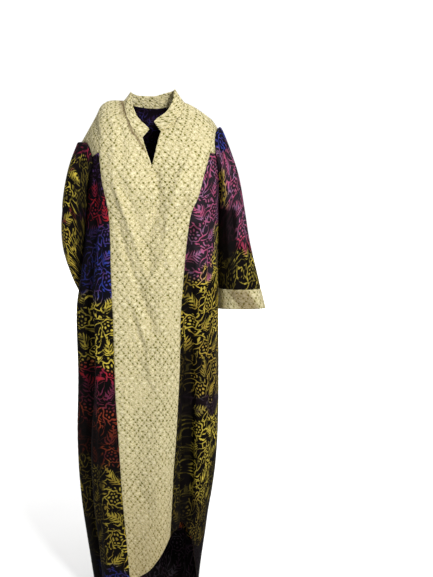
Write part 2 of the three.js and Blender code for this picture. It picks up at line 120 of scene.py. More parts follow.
def look(rows, by, column, at):
    """Smooth curve through a table: a cubic between rows, with the slope of the chord past each."""
    x, y = rows[by], rows[column]
    at = np.clip(at, x[0], x[-1])
    k = np.clip(np.searchsorted(x, at) - 1, 0, len(x) - 2)
    before, after = np.maximum(k - 1, 0), np.minimum(k + 2, len(x) - 1)
    span = x[k + 1] - x[k]
    start = (y[k + 1] - y[before]) / (x[k + 1] - x[before]) * span
    end = (y[after] - y[k]) / (x[after] - x[k]) * span
    t = (at - x[k]) / span
    return hermite(y[k], start, y[k + 1], end, t)


def hermite(p0, m0, p1, m1, t):
    """Cubic from p0 to p1 that leaves with slope m0 and arrives with slope m1."""
    s = 1 - t
    return s * s * (1 + 2 * t) * p0 + s * s * t * m0 + t * t * (3 - 2 * t) * p1 - t * t * s * m1


def mix(a, b, t):
    """Part way from a to b: a where t is 0, b where it is 1."""
    return a + (b - a) * t


def smooth(t):
    """0 below 0, 1 above 1, and an S between them."""
    t = np.clip(t, 0, 1)
    return t * t * (3 - 2 * t)


def unit(vectors):
    """Each vector made 1 long."""
    return vectors / np.maximum(np.linalg.norm(vectors, axis=-1, keepdims=True), 1e-12)


def run_along(line):
    """How far along a line of points each of them lies: the sum of the steps before it."""
    return np.concatenate([[0], np.cumsum(np.linalg.norm(np.diff(line, axis=0), axis=1))])


# %% Sizes of the body of the garment
ARMPIT, HEM = 255.0, 1490.0
TIP_LEFT, TIP_RIGHT = 206.0, 182.0
NECK_LEFT, NECK_RIGHT, NECK_BACK_DROP = 84.0, 87.0, 22.0
SECTIONS = table(
    "down left right front back",
    (0, 200, 184, 118, 100), (130, 192, 194, 122, 108), (255, 190, 188, 128, 112),
    (400, 203, 187, 124, 102), (500, 216, 188, 122, 102), (600, 231, 190, 120, 104),
    (800, 231, 193, 122, 118), (1000, 237, 192, 128, 130), (1165, 232, 178, 132, 138),
    (1330, 214, 151, 136, 144), (1500, 192, 132, 140, 150))
RIDGE = table(
    "x down", (-206, 110), (-186, 76), (-162, 34), (-150, 10), (-127, -5), (-84, -6), (0, -4),
    (87, -1), (163, 45), (182, 70))
NECK_DIP = table("x dip", (-84, 104), (-28, 104), (19, 82), (87, 82))
LACE_EDGES = table(
    "down left right",
    (0, 140, 160), (130, 152, 160), (199, 146, 140), (255, 133, 125), (303, 125, 109),
    (376, 122, 100), (483, 121, 90), (603, 117, 81), (814, 113, 73), (925, 108, 67),
    (1063, 101, 58), (1166, 95, 53), (1297, 85, 46), (1500, 70, 36))
FRONT_HEM = table(
    "across down", (-1, HEM), (-0.6, 1486), (-0.32, 1452), (0.03, 1388), (0.16, 1342), (0.22, 1312),
    (0.27, 1276), (0.33, 1258), (0.5, 1262), (0.58, 1300), (0.64, 1380), (0.74, 1466), (1, HEM))
BACK_HEM = table("across down", (-1, HEM), (-0.5, 1526), (0, 1540), (0.5, 1530), (1, HEM))
FOLD_COLUMNS = "top foot width from to start full"
FRONT_FOLDS = table(
    FOLD_COLUMNS, (0.36, 0.5, 0.085, 10, 44, 250, 1250), (0.62, 0.74, 0.13, -3, -12, 330, 1100),
    (-0.7, -0.72, 0.1, 14, 34, 150, 1150), (-0.44, -0.5, 0.11, -3, -12, 350, 1150),
    (-0.02, -0.12, 0.12, 4, 7, 200, 620), (0.14, 0.1, 0.12, -2, -8, 450, 1300))
BACK_FOLDS = table(
    FOLD_COLUMNS, (-0.72, -0.76, 0.12, 4, 30, 420, 1350), (-0.42, -0.45, 0.13, -3, -16, 300, 1300),
    (-0.16, -0.2, 0.12, 7, 36, 160, 1300), (0.1, 0.08, 0.12, -3, -15, 260, 1250),
    (0.34, 0.36, 0.12, 6, 32, 220, 1350), (0.7, 0.72, 0.13, 3, 24, 450, 1350))

# %% [markdown]
# ## The body as a surface
# The whole garment, without its sleeves and collar, is two faces that meet at the side seams and
# along the shoulders. A place on a face has two numbers: `across`, from -1 at one side seam to 1
# at the other, and `t`, from 0 at the top edge through 1 at the armpit to 2 at the hem. A flat
# cut could be draped by a cloth simulation, but then the outline would come out as it likes.
# Level sections, stacked and blended, give the known outline exactly.

# %% The plain surface of the body
def top_x(s):
    """Sideways place on the shoulder line: a share of the way from the middle to a shoulder tip."""
    return np.where(s < 0, TIP_LEFT, TIP_RIGHT) * s


def top_edge(x, face):
    """The shoulder line, and between the neck's sides a dip shaped like a flattened half circle."""
    inside = np.clip(1 - (x / np.where(x < 0, NECK_LEFT, NECK_RIGHT)) ** 2, 0, 1)
    dip = look(NECK_DIP, "x", "dip", x) if face == "front" else NECK_BACK_DROP
    return look(RIDGE, "x", "down", x) + dip * inside ** 0.6


def hem_at(across, face):
    """How far down the hem is at a place across."""
    return look(FRONT_HEM if face == "front" else BACK_HEM, "across", "down", across)


def level(across, t, face):
    """How far down a row lies: rows start along the top edge and level out towards the armpit."""
    top = top_edge(top_x(np.sin(across * np.pi / 2)), face)
    t_cap = np.clip(t, 0, 1) ** 1.35
    raised = np.maximum(0, top) ** 3
    begun, ended = np.cbrt(raised), np.cbrt(raised + ARMPIT ** 3)
    even = (np.cbrt(raised + (ARMPIT * t_cap) ** 3) - begun) / (ended - begun)
    cap = mix(top, ARMPIT, mix(even, t_cap, 0.35))
    return np.where(t > 1, mix(ARMPIT, hem_at(across, face), t - 1), cap)


def plain_body(across, t, face):
    """Level sections between an ellipse and a box, rounded in at the shoulders by a sine."""
    s = np.sin(across * np.pi / 2)
    down = level(across, t, face)
    left = look(SECTIONS, "down", "left", down)
    right = look(SECTIONS, "down", "right", down)
    x = mix(top_x(s), (right - left) / 2 + s * (right + left) / 2, smooth(t))
    drop = down - look(RIDGE, "x", "down", top_x(s))
    reach_down = mix(300.0 if face == "front" else 230.0, 115.0, s ** 2)
    cap = np.sin(np.pi / 2 * np.clip(drop / reach_down, 0, 1) ** 0.62)
    power = mix(4.4, 2.6, smooth((down - 130) / 270))
    side = np.sqrt(np.maximum(0, 1 - np.abs(s) ** power))
    y = look(SECTIONS, "down", face, down) * cap * side * (-1 if face == "front" else 1)
    return np.stack([x, y, -down], axis=-1)


# %% The large folds of the body
def fold_depth(across, down, face):
    """Long bell-shaped troughs and ridges that deepen downwards and die out at the side seams."""
    folds = FRONT_FOLDS if face == "front" else BACK_FOLDS
    depth = np.zeros(np.broadcast(across, down).shape)
    for top, foot, width, shallow, deep, start, full in zip(*folds.values()):
        middle = mix(top, foot, np.clip((down - start) / (HEM - start), 0, 1))
        begun = smooth((down - start) / 120 + 0.5)
        size = mix(shallow, deep, smooth((down - start) / (full - start)))
        depth += begun * size * np.exp(-((across - middle) / width) ** 2)
    return depth * (1 - smooth((np.abs(across) - 0.84) / 0.16))


def folded_body(across, t, face):
    """The plain surface, pushed in along its level normal by the depth of the folds."""
    across, t = np.broadcast_arrays(np.asarray(across, float), np.asarray(t, float))
    step = 1e-3
    point = plain_body(across, t, face)
    u0, u1 = np.maximum(across - step, -1), np.minimum(across + step, 1)
    v0, v1 = np.maximum(t - step, 0), np.minimum(t + step, 2)
    along = plain_body(u1, t, face) - plain_body(u0, t, face)
    below = plain_body(across, v1, face) - plain_body(across, v0, face)
    normal = np.cross(along, below)
    normal[..., 2] = 0
    normal = unit(normal) * (-1 if face == "front" else 1)
    return point - normal * fold_depth(across, -point[..., 2], face)[..., None]


# %% Where the pieces are cut
def reach_across(t, side):
    """1 below the armpit; along the armhole, less by a half wave of how far down it the row is."""
    edge, cut = (-1.0, 0.27) if side == "left" else (1.0, 0.24)
    top = level(np.array(edge), np.array(0.0), "front")
    fallen = np.clip((level(edge + 0 * t, t, "front") - top) / (ARMPIT - top), 0, 1)
    return np.where(t >= 1, 1.0, 1 - cut * np.sin(np.pi * fallen ** 0.6))


def across_where(t, wanted, start):
    """The place across at which each row reaches a wanted line, by Newton's steps."""
    across = start + 0 * t
    miss = lambda a: plain_body(a, t, "front")[..., 0] - wanted(-plain_body(a, t, "front")[..., 2])
    for _ in range(14):
        here = miss(across)
        slope = (miss(across + 1e-3) - here) / 1e-3
        across = np.clip(across - here / slope, -0.97, 0.97)
    return across


def lace_edge(t, side):
    """The seam between lace and batik."""
    sign = -1 if side == "left" else 1
    across = across_where(t, lambda down: sign * look(LACE_EDGES, "down", side, down), 0.5 * sign)
    return sign * np.minimum(np.abs(across), reach_across(t, side) - 0.06)


SLIT = table("down left right", (40, -35, 27), (76, -31, 20), (97, -28, 14), (169, -3, -3))


def slit_edge(t, side):
    """The two edges of the V slit, which are one line below its foot."""
    return across_where(t, lambda down: look(SLIT, "down", side, down), 0.0)


at_armpit = np.array([1.0])
lace_share = float((lace_edge(at_armpit, "right") - lace_edge(at_armpit, "left"))[0]) / 2
print(f"the lace takes {lace_share:.2f} of the front's turn at the armpit")

# %% [markdown]
# ## A grid of the front and one of the back
# The front is one grid of places. Its columns run along the side seams, the lace's two edges and
# the two edges of the slit, so each piece is a block of its cells and neighbours share their
# edges exactly. Cutting the pieces out of one even mesh would be simpler, but would leave ragged
# seams. Near the top the columns crowd towards the sides of the neck, where the neckline turns
# down steeply.

# %% Grids of places
SIDE, HALF, BACK_CELLS = 46, 44, 128
CAP_ROWS, YOKE_ROW, SKIRT_ROWS, BACK_CAP_ROWS, BACK_SKIRT_ROWS = 80, 48, 300, 64, 280


def rows_down(cap, skirt):
    """The rows' t: even from 0 to 1 above the armpit, and even from 1 to 2 below it."""
    return np.concatenate([np.arange(cap) / cap, 1 + np.arange(skirt + 1) / skirt])


def spread(start, end, cells):
    """Even steps from start towards end, a row of them for each row of the grid."""
    return start[:, None] + (end - start)[:, None] * np.arange(cells) / cells


def half_front(outer, inner, neck_x, t):
    """Places from the lace's edge to the slit: at the top they crowd at the neck's side."""
    neck = across_of(neck_x) + 0 * t
    cells = np.arange(HALF)
    shoulder = cells[:10] / 10
    round_neck = 1 - np.cos(np.pi / 2 * np.arange(HALF - 10) / (HALF - 10))
    crowded = np.concatenate(
        [outer[:, None] + (neck - outer)[:, None] * shoulder,
         neck[:, None] + (inner - neck)[:, None] * round_neck], axis=1)
    return mix(crowded, spread(outer, inner, HALF), smooth(t)[:, None])


def across_of(x):
    """The place across that has this x on the shoulder line: the sine of `top_x`, undone."""
    return 2 / np.pi * np.arcsin(x / (TIP_LEFT if x < 0 else TIP_RIGHT))


def front_places():
    """The front's grid: its places across, row by row, and its rows."""
    t = rows_down(CAP_ROWS, SKIRT_ROWS)
    seam_left, seam_right = lace_edge(t, "left"), lace_edge(t, "right")
    cut_left, cut_right = slit_edge(t, "left"), slit_edge(t, "right")
    left = spread(-reach_across(t, "left"), seam_left, SIDE)
    right = -spread(-reach_across(t, "right"), -seam_right, SIDE)[:, ::-1]
    middle_left = half_front(seam_left, cut_left, -NECK_LEFT, t)
    middle_right = half_front(seam_right, cut_right, NECK_RIGHT, t)[:, ::-1]
    across = np.concatenate(
        [left, middle_left, cut_left[:, None], cut_right[:, None], middle_right, right], axis=1)
    return across, t[:, None] + 0 * across


def back_places():
    """The back's grid: crowded at the neck's sides along the top, and even further down."""
    t = rows_down(BACK_CAP_ROWS, BACK_SKIRT_ROWS)
    ends = [-reach_across(t, "left"), across_of(-NECK_LEFT) + 0 * t,
            across_of(NECK_RIGHT) + 0 * t, reach_across(t, "right")]
    wave = (0.5 - 0.5 * np.cos(np.pi * np.arange(BACK_CELLS // 2) / (BACK_CELLS // 2)))
    crowded = np.concatenate(
        [spread(ends[0], ends[1], BACK_CELLS // 4),
         ends[1][:, None] + (ends[2] - ends[1])[:, None] * wave,
         spread(ends[2], ends[3], BACK_CELLS // 4), ends[3][:, None]], axis=1)
    even = np.concatenate([spread(ends[0], ends[3], BACK_CELLS), ends[3][:, None]], axis=1)
    across = mix(crowded, even, smooth(t)[:, None])
    return across, t[:, None] + 0 * across


# %% Measures on a grid
LEFT_SEAM, SLIT_LEFT, SLIT_RIGHT, RIGHT_SEAM = SIDE, SIDE + HALF, SIDE + HALF + 1, SIDE + 2 * HALF + 1


def lengths(points, axis):
    """Length of cloth run along rows or columns, from the grid's first line."""
    steps = np.linalg.norm(np.diff(points, axis=axis), axis=-1)
    pad = [(0, 0), (0, 0)]
    pad[axis] = (1, 0)
    return np.pad(np.cumsum(steps, axis=axis), pad)


def flat_cloth(points, column, row):
    """Each place on the uncut cloth: the length across from one column and down from one row."""
    across, down = lengths(points, 1), lengths(points, 0)
    return np.stack([across - across[:, column:column + 1], down - down[row:row + 1]], axis=-1)


def grid_normals(points, outward):
    """Unit normals from the differences between a grid's neighbours, turned outward."""
    down, across = np.gradient(points, axis=0), np.gradient(points, axis=1)
    return unit(np.cross(across, down)) * outward


def normals_from(middle, points):
    """Unit normals of cloth that goes round a middle, turned away from it."""
    normals = grid_normals(points, 1)
    return normals * np.sign(np.sum(normals * (points - middle)))


# %% [markdown]
# ## Finer folds
# Worn cloth hangs from its high points, the shoulders, the bust and the elbow, and falls in long
# soft troughs and ridges between them. Noise could wrinkle it without any work, but noise knows
# nothing of weight. So each fold is listed one by one: where it starts and ends, how it bows, how
# wide it is and how deep, with a depth below 0 for a ridge. Its cross section is a bell, its
# ends fade, and its depth wavers on the way so that no two places look alike.

# %% Creases
CREASE = "x down to_x to_down bow width depth"


def crease_depth(x, down, creases):
    """Sum of the creases: depth times a bell across the line times a rise and fall along it."""
    depth = np.zeros(x.shape)
    for x0, down0, x1, down1, bow, width, deep in zip(*creases.values()):
        run = math.hypot(x1 - x0, down1 - down0)
        way_x, way_down = (x1 - x0) / run, (down1 - down0) / run
        along = ((x - x0) * way_x + (down - down0) * way_down) / run
        aside = (x - x0) * way_down - (down - down0) * way_x
        middle = bow * np.sin(np.pi * np.clip(along, 0, 1)) + 0.18 * width * np.sin(7 * along + x0)
        ends = smooth((along + 0.12) / 0.34) * smooth((1.12 - along) / 0.34)
        uneven = 1 + 0.28 * np.sin(5.3 * along + 0.37 * down0)
        broad = width * (0.85 + 0.35 * np.clip(along, 0, 1))
        depth += deep * ends * uneven * np.exp(-((aside - middle) / broad) ** 2)
    return depth


FRONT_CREASES = table(
    CREASE,
    # below the slit and across the bust
    (2, 172, 12, 300, 8, 12, 8.0), (12, 275, -10, 455, -10, 14, 6.5),
    (-111, 205, -14, 512, 5, 9, -7.0), (-97, 330, 4, 650, -6, 10, 8.0),
    (-84, 205, -11, 450, 3, 14, 4.5), (-78, 192, -6, 258, -4, 15, -5.0),
    (90, 159, 34, 350, -3, 12, -9.0), (40, 310, 30, 425, 0, 8, -6.0),
    (31, 405, -16, 518, -3, 8, -5.0), (31, 405, 57, 480, 0, 8, -4.0),
    (93, 232, 77, 350, 0, 9, 5.5), (113, 190, 104, 265, 0, 12, -4.0),
    (-70, 535, -20, 675, 0, 8, -5.0), (-22, 655, -8, 795, 0, 8, -3.5),
    (-64, 585, -20, 720, -3, 9, 5.5), (60, 520, 40, 700, 8, 14, 3.2),
    # pressed folds across and down the lace
    (-104, 782, -48, 766, 0, 4, -2.2), (-104, 793, -48, 777, 0, 4, 2.2), (-84, 795, -88, 910, 0, 5, -2.6),
    (-8, 632, 78, 634, 0, 6, -1.8), (-8, 648, 78, 650, 0, 7, 2.2),
    # further down the lace
    (-10, 504, -5, 635, 6, 12, 2.0), (-74, 636, -34, 761, 3, 10, 3.0),
    (-48, 666, -11, 773, 3, 12, -2.0), (-23, 781, -9, 859, 6, 13, 2.2),
    (-67, 848, -45, 1008, 0, 13, 2.6), (-58, 1085, -8, 1225, 0, 16, 3.2),
    (11, 1124, 13, 1242, 0, 13, -2.6), (32, 909, 41, 1065, 6, 12, 1.6),
    (-108, 636, -109, 908, 0, 14, -1.8), (-89, 1227, -69, 1357, 6, 14, 2.2),
    # the yoke
    (-90, 48, -88, 184, 3, 10, 2.2), (-133, 43, -132, 179, 6, 10, 2.2),
    (-114, 38, -110, 173, 3, 9, -1.6), (-63, 124, -41, 184, -3, 10, -2.0),
    (-52, 130, -55, 179, 0, 9, 1.6), (58, 57, 69, 206, 6, 10, 1.8),
    (102, 38, 110, 201, 6, 14, -2.4), (132, 57, 146, 124, 3, 10, 1.8),
    (-166, 38, -143, 124, -3, 9, 2.6), (36, 124, 47, 184, 6, 13, 1.6),
    # the deep fold on each side of the lace
    (116, 400, 97, 1240, -4, 13, 20.0), (-190, 500, -160, 1470, -6, 13, 13.0),
    # the batik beside the lace
    (-150, 300, -158, 560, 5, 9, 3.5), (-178, 420, -196, 900, -6, 12, 4.0),
    (-140, 620, -132, 1010, -4, 10, -2.5), (-205, 640, -214, 1180, 4, 12, 3.0),
    (-128, 1020, -120, 1420, 5, 10, 2.6), (-190, 1150, -170, 1450, 4, 12, -3.0),
    (124, 300, 128, 640, 5, 9, 3.0), (160, 380, 168, 820, -4, 11, 2.6),
    (138, 700, 150, 1120, 5, 10, -2.5), (170, 900, 160, 1300, 4, 10, 3.2),
    (104, 1050, 120, 1400, -4, 9, 2.4))
BACK_CREASES = table(
    CREASE,
    (-120, 60, -60, 240, 10, 14, 3.0), (110, 70, 70, 260, -8, 13, 2.6),
    (-30, 60, -25, 230, 6, 12, -2.4), (40, 90, 20, 420, 8, 15, 3.2),
    (-150, 240, -80, 470, 14, 14, 3.8), (150, 230, 95, 480, -10, 14, 3.5),
    (-95, 330, -70, 760, 10, 14, -3.0), (80, 420, 95, 830, -8, 15, 3.0),
    (-170, 560, -160, 980, -8, 15, 3.6), (0, 520, -15, 930, 8, 16, -3.0),
    (150, 640, 140, 1080, 8, 14, 3.2), (-60, 900, -90, 1330, -8, 15, 3.4),
    (50, 980, 60, 1420, 6, 14, -3.0), (-150, 1080, -130, 1480, 8, 15, -3.0),
    (110, 1100, 100, 1480, -6, 13, 3.0))


def slight_waves(x, down, seed):
    """Low, slow unevenness: three long sines that never meet in step."""
    return (0.9 * np.sin(x / 31 + down / 97 + seed) + 0.7 * np.sin(down / 41 - x / 53 + 2.1 * seed)
            + 0.5 * np.sin(x / 17 + down / 149 + 3.7 * seed))


# %% [markdown]
# ## Seams
# Two pieces sewn together turn inward along their seam, and the thread draws the cloth into small
# uneven puckers beside it. A bump in the finish could show this, but not where a seam makes the
# outline. So the cloth itself is moved: the groove is a narrow bell in the distance from the
# seam, and the puckers are short waves along it that fade a finger's width away.

# %% Grooves along the seams
GROOVE_DEEP, GROOVE_WIDE = 1.5, 3.2
NECK_GROOVE_DEEP, NECK_GROOVE_WIDE = 3.2, 4.5
PUCKER_HIGH, PUCKER_REACH = 0.55, 11.0
BUST_HIGH, BUST_WIDE, BUST_TALL, BUST_DOWN = 9.0, 52.0, 62.0, 232.0
BUST_MIDDLES = (-76, 80)
HEM_CURL = 70.0


def seam_depth(distance, along, seed=0.0):
    """A bell-shaped groove on the seam line, plus two sines multiplied, fading with distance."""
    groove = GROOVE_DEEP * np.exp(-(distance / GROOVE_WIDE) ** 2)
    ripple = np.sin(along / 3.9 + 1.3 * np.sin(along / 23 + seed)) * np.sin(along / 61 + seed)
    return groove + PUCKER_HIGH * ripple * np.exp(-distance / PUCKER_REACH)


def seam_beside(flat, column, seed):
    """The groove along one column of a grid."""
    return seam_depth(np.abs(flat[..., 0] - flat[:, column, 0][:, None]), flat[..., 1], seed)


def soft_parts(across, t):
    """1 where the cloth is free to fold: fades out at the side seams and along the top edge."""
    return (1 - smooth((np.abs(across) - 0.86) / 0.13)) * smooth(t / 0.12)


def side_seams(flat, t):
    """The grooves of both side seams, which begin below the shoulders."""
    return (seam_beside(flat, 0, 2.0) + seam_beside(flat, -1, 2.0)) * smooth((t - 0.1) / 0.3)


def front_surface():
    """The front with its creases, bust and seams: its points and the flat cloth."""
    across, t = front_places()
    points = folded_body(across, t, "front")
    flat = flat_cloth(points, SLIT_LEFT, CAP_ROWS)
    normals = grid_normals(points, -1)
    x, down = points[..., 0], -points[..., 2]
    bust = sum(BUST_HIGH * np.exp(-((x - at) / BUST_WIDE) ** 2 - ((down - BUST_DOWN) / BUST_TALL) ** 2)
               for at in BUST_MIDDLES)
    folds = crease_depth(x, down, FRONT_CREASES) + slight_waves(x, down, 0.4)
    sunk = folds * soft_parts(across, t) - bust * smooth(t / 0.3) + side_seams(flat, t)
    row, column = np.arange(len(t))[:, None], np.arange(across.shape[1])
    for seam in (LEFT_SEAM, RIGHT_SEAM):
        sunk = sunk + np.where(row >= YOKE_ROW, seam_beside(flat, seam, seam), 0)
    under_yoke = np.abs(flat[..., 1] - flat[YOKE_ROW:YOKE_ROW + 1, :, 1])
    beside_lace = (column <= LEFT_SEAM) | (column >= RIGHT_SEAM)
    sunk = sunk + np.where(beside_lace, seam_depth(under_yoke, flat[..., 0]), 0)
    round_neck = (x[0] > -NECK_LEFT) & (x[0] < NECK_RIGHT)
    neck_groove = NECK_GROOVE_DEEP * np.exp(-((flat[..., 1] - flat[:1, :, 1]) / NECK_GROOVE_WIDE) ** 2)
    sunk = sunk + np.where(round_neck & (row > 0), neck_groove, 0)
    return points - normals * sunk[..., None], flat + np.array([0, ARMPIT])


def back_surface():
    """The back with its creases and side seams, and a hem that curls forward."""
    across, t = back_places()
    points = folded_body(across, t, "back")
    flat = flat_cloth(points, BACK_CELLS // 2, BACK_CAP_ROWS)
    normals = grid_normals(points, 1)
    x, down = points[..., 0], -points[..., 2]
    folds = crease_depth(x, down, BACK_CREASES) + slight_waves(x, down, 1.9)
    sunk = folds * soft_parts(across, t) + side_seams(flat, t)
    points = points - normals * sunk[..., None]
    curl = smooth((t - 1.9) / 0.1) * (1 - smooth((np.abs(across) - 0.75) / 0.2))
    points[..., 1] -= HEM_CURL * curl * (1 + 0.25 * np.sin(across * 9))
    return points, flat + np.array([0, ARMPIT])


front_points, front_flat = front_surface()
back_points, back_flat = back_surface()
print("front grid", front_points.shape[:2], "back grid", back_points.shape[:2])

# %% [markdown]
# ## From a grid to a sheet of cloth
# Every piece of this garment was once flat. A sheet is the chosen cells of a grid, as a mesh with
# a flat map in metres, the lengths run over the cloth, so that a pattern on it keeps its true
# scale and follows the folds. Unwrapping the finished mesh would give much the same map, but
# would turn the grain. Solidify then gives the cloth its thickness, half to each side.

# %% Sheets
def sheet_mesh(name, points, flat, chosen, same=None):
    """Mesh of the chosen cells; `same` says which grid points are one point."""
    rows, columns = points.shape[:2]
    number = np.arange(rows * columns).reshape(rows, columns)
    corners = np.stack([number[:-1, :-1], number[1:, :-1], number[1:, 1:], number[:-1, 1:]], axis=-1)
    corners = corners[chosen[:rows - 1, :columns - 1]].reshape(-1, 4)
    joined = corners if same is None else same.ravel()[corners]
    used, faces = np.unique(joined, return_inverse=True)
    mesh = bpy.data.meshes.new(name)
    mesh.from_pydata((points.reshape(-1, 3)[used] * MM).tolist(), [], faces.reshape(-1, 4).tolist())
    spots = flat.reshape(-1, 2)[corners.ravel()] * MM
    mesh.uv_layers.new(name="cloth").data.foreach_set("uv", spots.astype(np.float32).ravel())
    mesh.shade_smooth()
    return mesh


def cloth_area(points, chosen):
    """Area of the chosen cells in square metres, from the cross products of their diagonals."""
    one, two = points[1:, 1:] - points[:-1, :-1], points[1:, :-1] - points[:-1, 1:]
    areas = np.linalg.norm(np.cross(one, two), axis=-1) / 2
    return float(areas[chosen[:areas.shape[0], :areas.shape[1]]].sum()) * MM * MM


BATIK_THICK, CUFF_THICK, COLLAR_THICK = 1.3, 2.0, 2.2


def sew(name, node, points, flat, chosen, finish, thick=BATIK_THICK, same=None):
    """A finished sheet of cloth that stands for a node of the solid model."""
    piece = put_in_scene(name, sheet_mesh(name, points, flat, chosen, same))
    piece.data.materials.append(finish)
    wall = piece.modifiers.new("cloth thickness", "SOLIDIFY")
    wall.thickness = thick * MM
    wall.offset = 0
    cells = chosen[:points.shape[0] - 1, :points.shape[1] - 1]
    inside = flat[:-1, :-1][cells]
    size = (inside.max(axis=0) - inside.min(axis=0)) * MM
    area = min(cloth_area(points, chosen), float(size[0] * size[1]))
    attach(piece, "root")
    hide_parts(node)
    print(f"{name}: cut from {size[0]:.3f} x {size[1]:.3f} m, area {area:.3f} m2, {cells.sum()} cells")
    return piece


# %% [markdown]
# ## Writing a finish as sums
# A material is a set of nodes. A painted picture could carry the patterns, but would blur when
# seen from near, and a formula stays sharp. Dozens of Math nodes are hard to read as code, so a
# socket is wrapped in a small class: a pattern is then a plain expression such as `1 - mask`, and
# each operation adds its node.

# %% Sockets as numbers
class Value:
    """A number that varies over the cloth."""

    def __init__(self, finish, socket):
        self.finish, self.socket = finish, socket

    def math(self, operation, *others):
        """A Math node's result on this number and the others, in that order."""
        return self.finish.calculate(operation, self, *others)

    def __add__(self, other): return self.math("ADD", other)
    def __radd__(self, other): return self.math("ADD", other)
    def __sub__(self, other): return self.math("SUBTRACT", other)
    def __rsub__(self, other): return self.finish.calculate("SUBTRACT", other, self)
    def __mul__(self, other): return self.math("MULTIPLY", other)
    def __rmul__(self, other): return self.math("MULTIPLY", other)
    def __truediv__(self, other): return self.math("DIVIDE", other)
    def __pow__(self, other): return self.math("POWER", other)
    def __abs__(self): return self.math("ABSOLUTE")
    def sin(self): return self.math("SINE")
    def cos(self): return self.math("COSINE")
    def root(self): return self.math("SQRT")
    def floor(self): return self.math("FLOOR")
    def part(self): return self.math("FRACT")
    def above(self, limit): return self.math("GREATER_THAN", limit)
    def most(self, other): return self.math("MAXIMUM", other)
    def least(self, other): return self.math("MINIMUM", other)

    def held(self):
        """Kept between 0 and 1."""
        return self.most(0.0).least(1.0)

    def wrapped(self):
        """How far it is from the nearest whole number, with its sign: -0.5 to 0.5."""
        return (self + 0.5).part() - 0.5


class Nodes:
    """The nodes of one material or sky."""

    def __init__(self, owner):
        owner.use_nodes = True
        self.owner, self.nodes, self.links = owner, owner.node_tree.nodes, owner.node_tree.links
        self.nodes.clear()

    def node(self, kind, settings=None, values=None, out=0):
        """Adds a node: its type, its settings, what its sockets hold, and which result to give."""
        made = self.nodes.new(kind)
        for name, setting in (settings or {}).items():
            if name == "stops":
                self.fill_ramp(made.color_ramp, setting)
            else:
                setattr(made, name, setting)
        for name, value in (values or {}).items():
            if isinstance(value, Value):
                self.links.new(value.socket, made.inputs[name])
            else:
                made.inputs[name].default_value = value
        return Value(self, made.outputs[out]) if made.outputs else None

    def calculate(self, operation, *numbers):
        return self.node("ShaderNodeMath", {"operation": operation}, dict(enumerate(numbers)))

    @staticmethod
    def fill_ramp(ramp, stops):
        """Puts the stops, each a place and a colour, on a colour ramp."""
        while len(ramp.elements) < len(stops):
            ramp.elements.new(0.5)
        for stop, (at, colour) in zip(ramp.elements, stops):
            stop.position, stop.color = at, (*colour, 1)

    def parts(self, vector):
        """The three numbers of a vector."""
        return [self.node("ShaderNodeSeparateXYZ", values={0: vector}, out=k) for k in range(3)]

    def flat_place(self):
        """The place on the flat cloth, in millimetres."""
        spot = self.node("ShaderNodeUVMap", {"uv_map": "cloth"})
        return [part * 1000.0 for part in self.parts(spot)[:2]]

    def body_place(self):
        """The place on the whole garment, in millimetres: to the right, to the back and down."""
        x, y, z = self.parts(self.node("ShaderNodeTexCoord", out=3))
        return x * 1000.0, y * 1000.0, z * -1000.0

    def vector(self, x, y, z=0.0):
        return self.node("ShaderNodeCombineXYZ", values={0: x, 1: y, 2: z})

    def noise(self, x, y, size, detail=2.0, seed=0.0, out=0):
        """Smooth noise around 0.5 whose lumps are about `size` millimetres."""
        values = {"Vector": self.vector(x / size, y / size, seed), "Scale": 1.0, "Detail": detail}
        return self.node("ShaderNodeTexNoise", values=values, out=out)

    def chance(self, x, y, seed=0.0, out=0):
        """A random number, or three with out=1, that is the same wherever x, y and seed are."""
        return self.node("ShaderNodeTexWhiteNoise", values={"Vector": self.vector(x, y, seed)}, out=out)

    def blend(self, share, one, two):
        """The first colour where share is 0 and the second where it is 1."""
        one, two = ((*colour, 1) if isinstance(colour, tuple) else colour for colour in (one, two))
        return self.node("ShaderNodeMix", {"data_type": "RGBA"}, {0: share, 6: one, 7: two}, out=2)

    def cloth(self, colour, roughness, height, bump=0.6, sheen=0.15):
        """A matt cloth surface with its relief in millimetres."""
        relief = self.node("ShaderNodeBump", values={"Strength": bump, "Distance": MM, "Height": height})
        body = self.node("ShaderNodeBsdfPrincipled", values={
            "Base Color": colour, "Roughness": roughness, "Normal": relief, "Sheen Weight": sheen,
            "Specular IOR Level": 0.05})
        self.node("ShaderNodeOutputMaterial", values={"Surface": body})
        return self.owner


def new_finish(name):
    return Nodes(bpy.data.materials.new(name))


def dye(*seen):
    """A colour as seen, with each part 0 to 255, made linear."""
    return tuple(((v / 255 + 0.055) / 1.055) ** 2.4 if v > 10 else v / 255 / 12.92 for v in seen)


def band(distance, half_width, soft=0.5):
    """1 within half_width of a line, with a soft edge."""
    return ((half_width - distance) / soft + 0.5).held()


def dim_streak(x, down, streak):
    """How dark a streak makes a place: a soft slanting strip between two heights."""
    x0, down0, x1, down1, half_width, amount = streak
    middle = x0 + (down - down0) * ((x1 - x0) / (down1 - down0))
    soft = min(14.0, half_width * 0.8)
    beside = band(abs(x - middle), half_width, soft)
    return beside * band(abs(down - (down0 + down1) / 2), (down1 - down0) / 2, soft * 1.8) * amount


# %% [markdown]
# ## Lace
# The lace is a net of upright diamonds, 27 by 34 mm. Rows of small eyelets mark the diamonds'
# sides, and each diamond holds one thick padded petal with a small leaf above and below. Real
# holes would need millions of faces, so the eyelets are dents in a closed sheet, painted dark
# olive as painted shade for what is seen through a hole. Tilted coordinates `a` and `b` count the
# diamonds, so their whole numbers are the net's lines and their halves are the petals' middles.
# The thread is uneven, so some eyelets are open and some closed, and towards the hem the lace is
# painted darker and browner, a painted shade for the light that falls off downwards.

# %% The lace's pattern
DIAMOND_WIDE, DIAMOND_TALL, LINE_STEP, PEBBLE = 27.0, 34.0, 21.0, 3.4


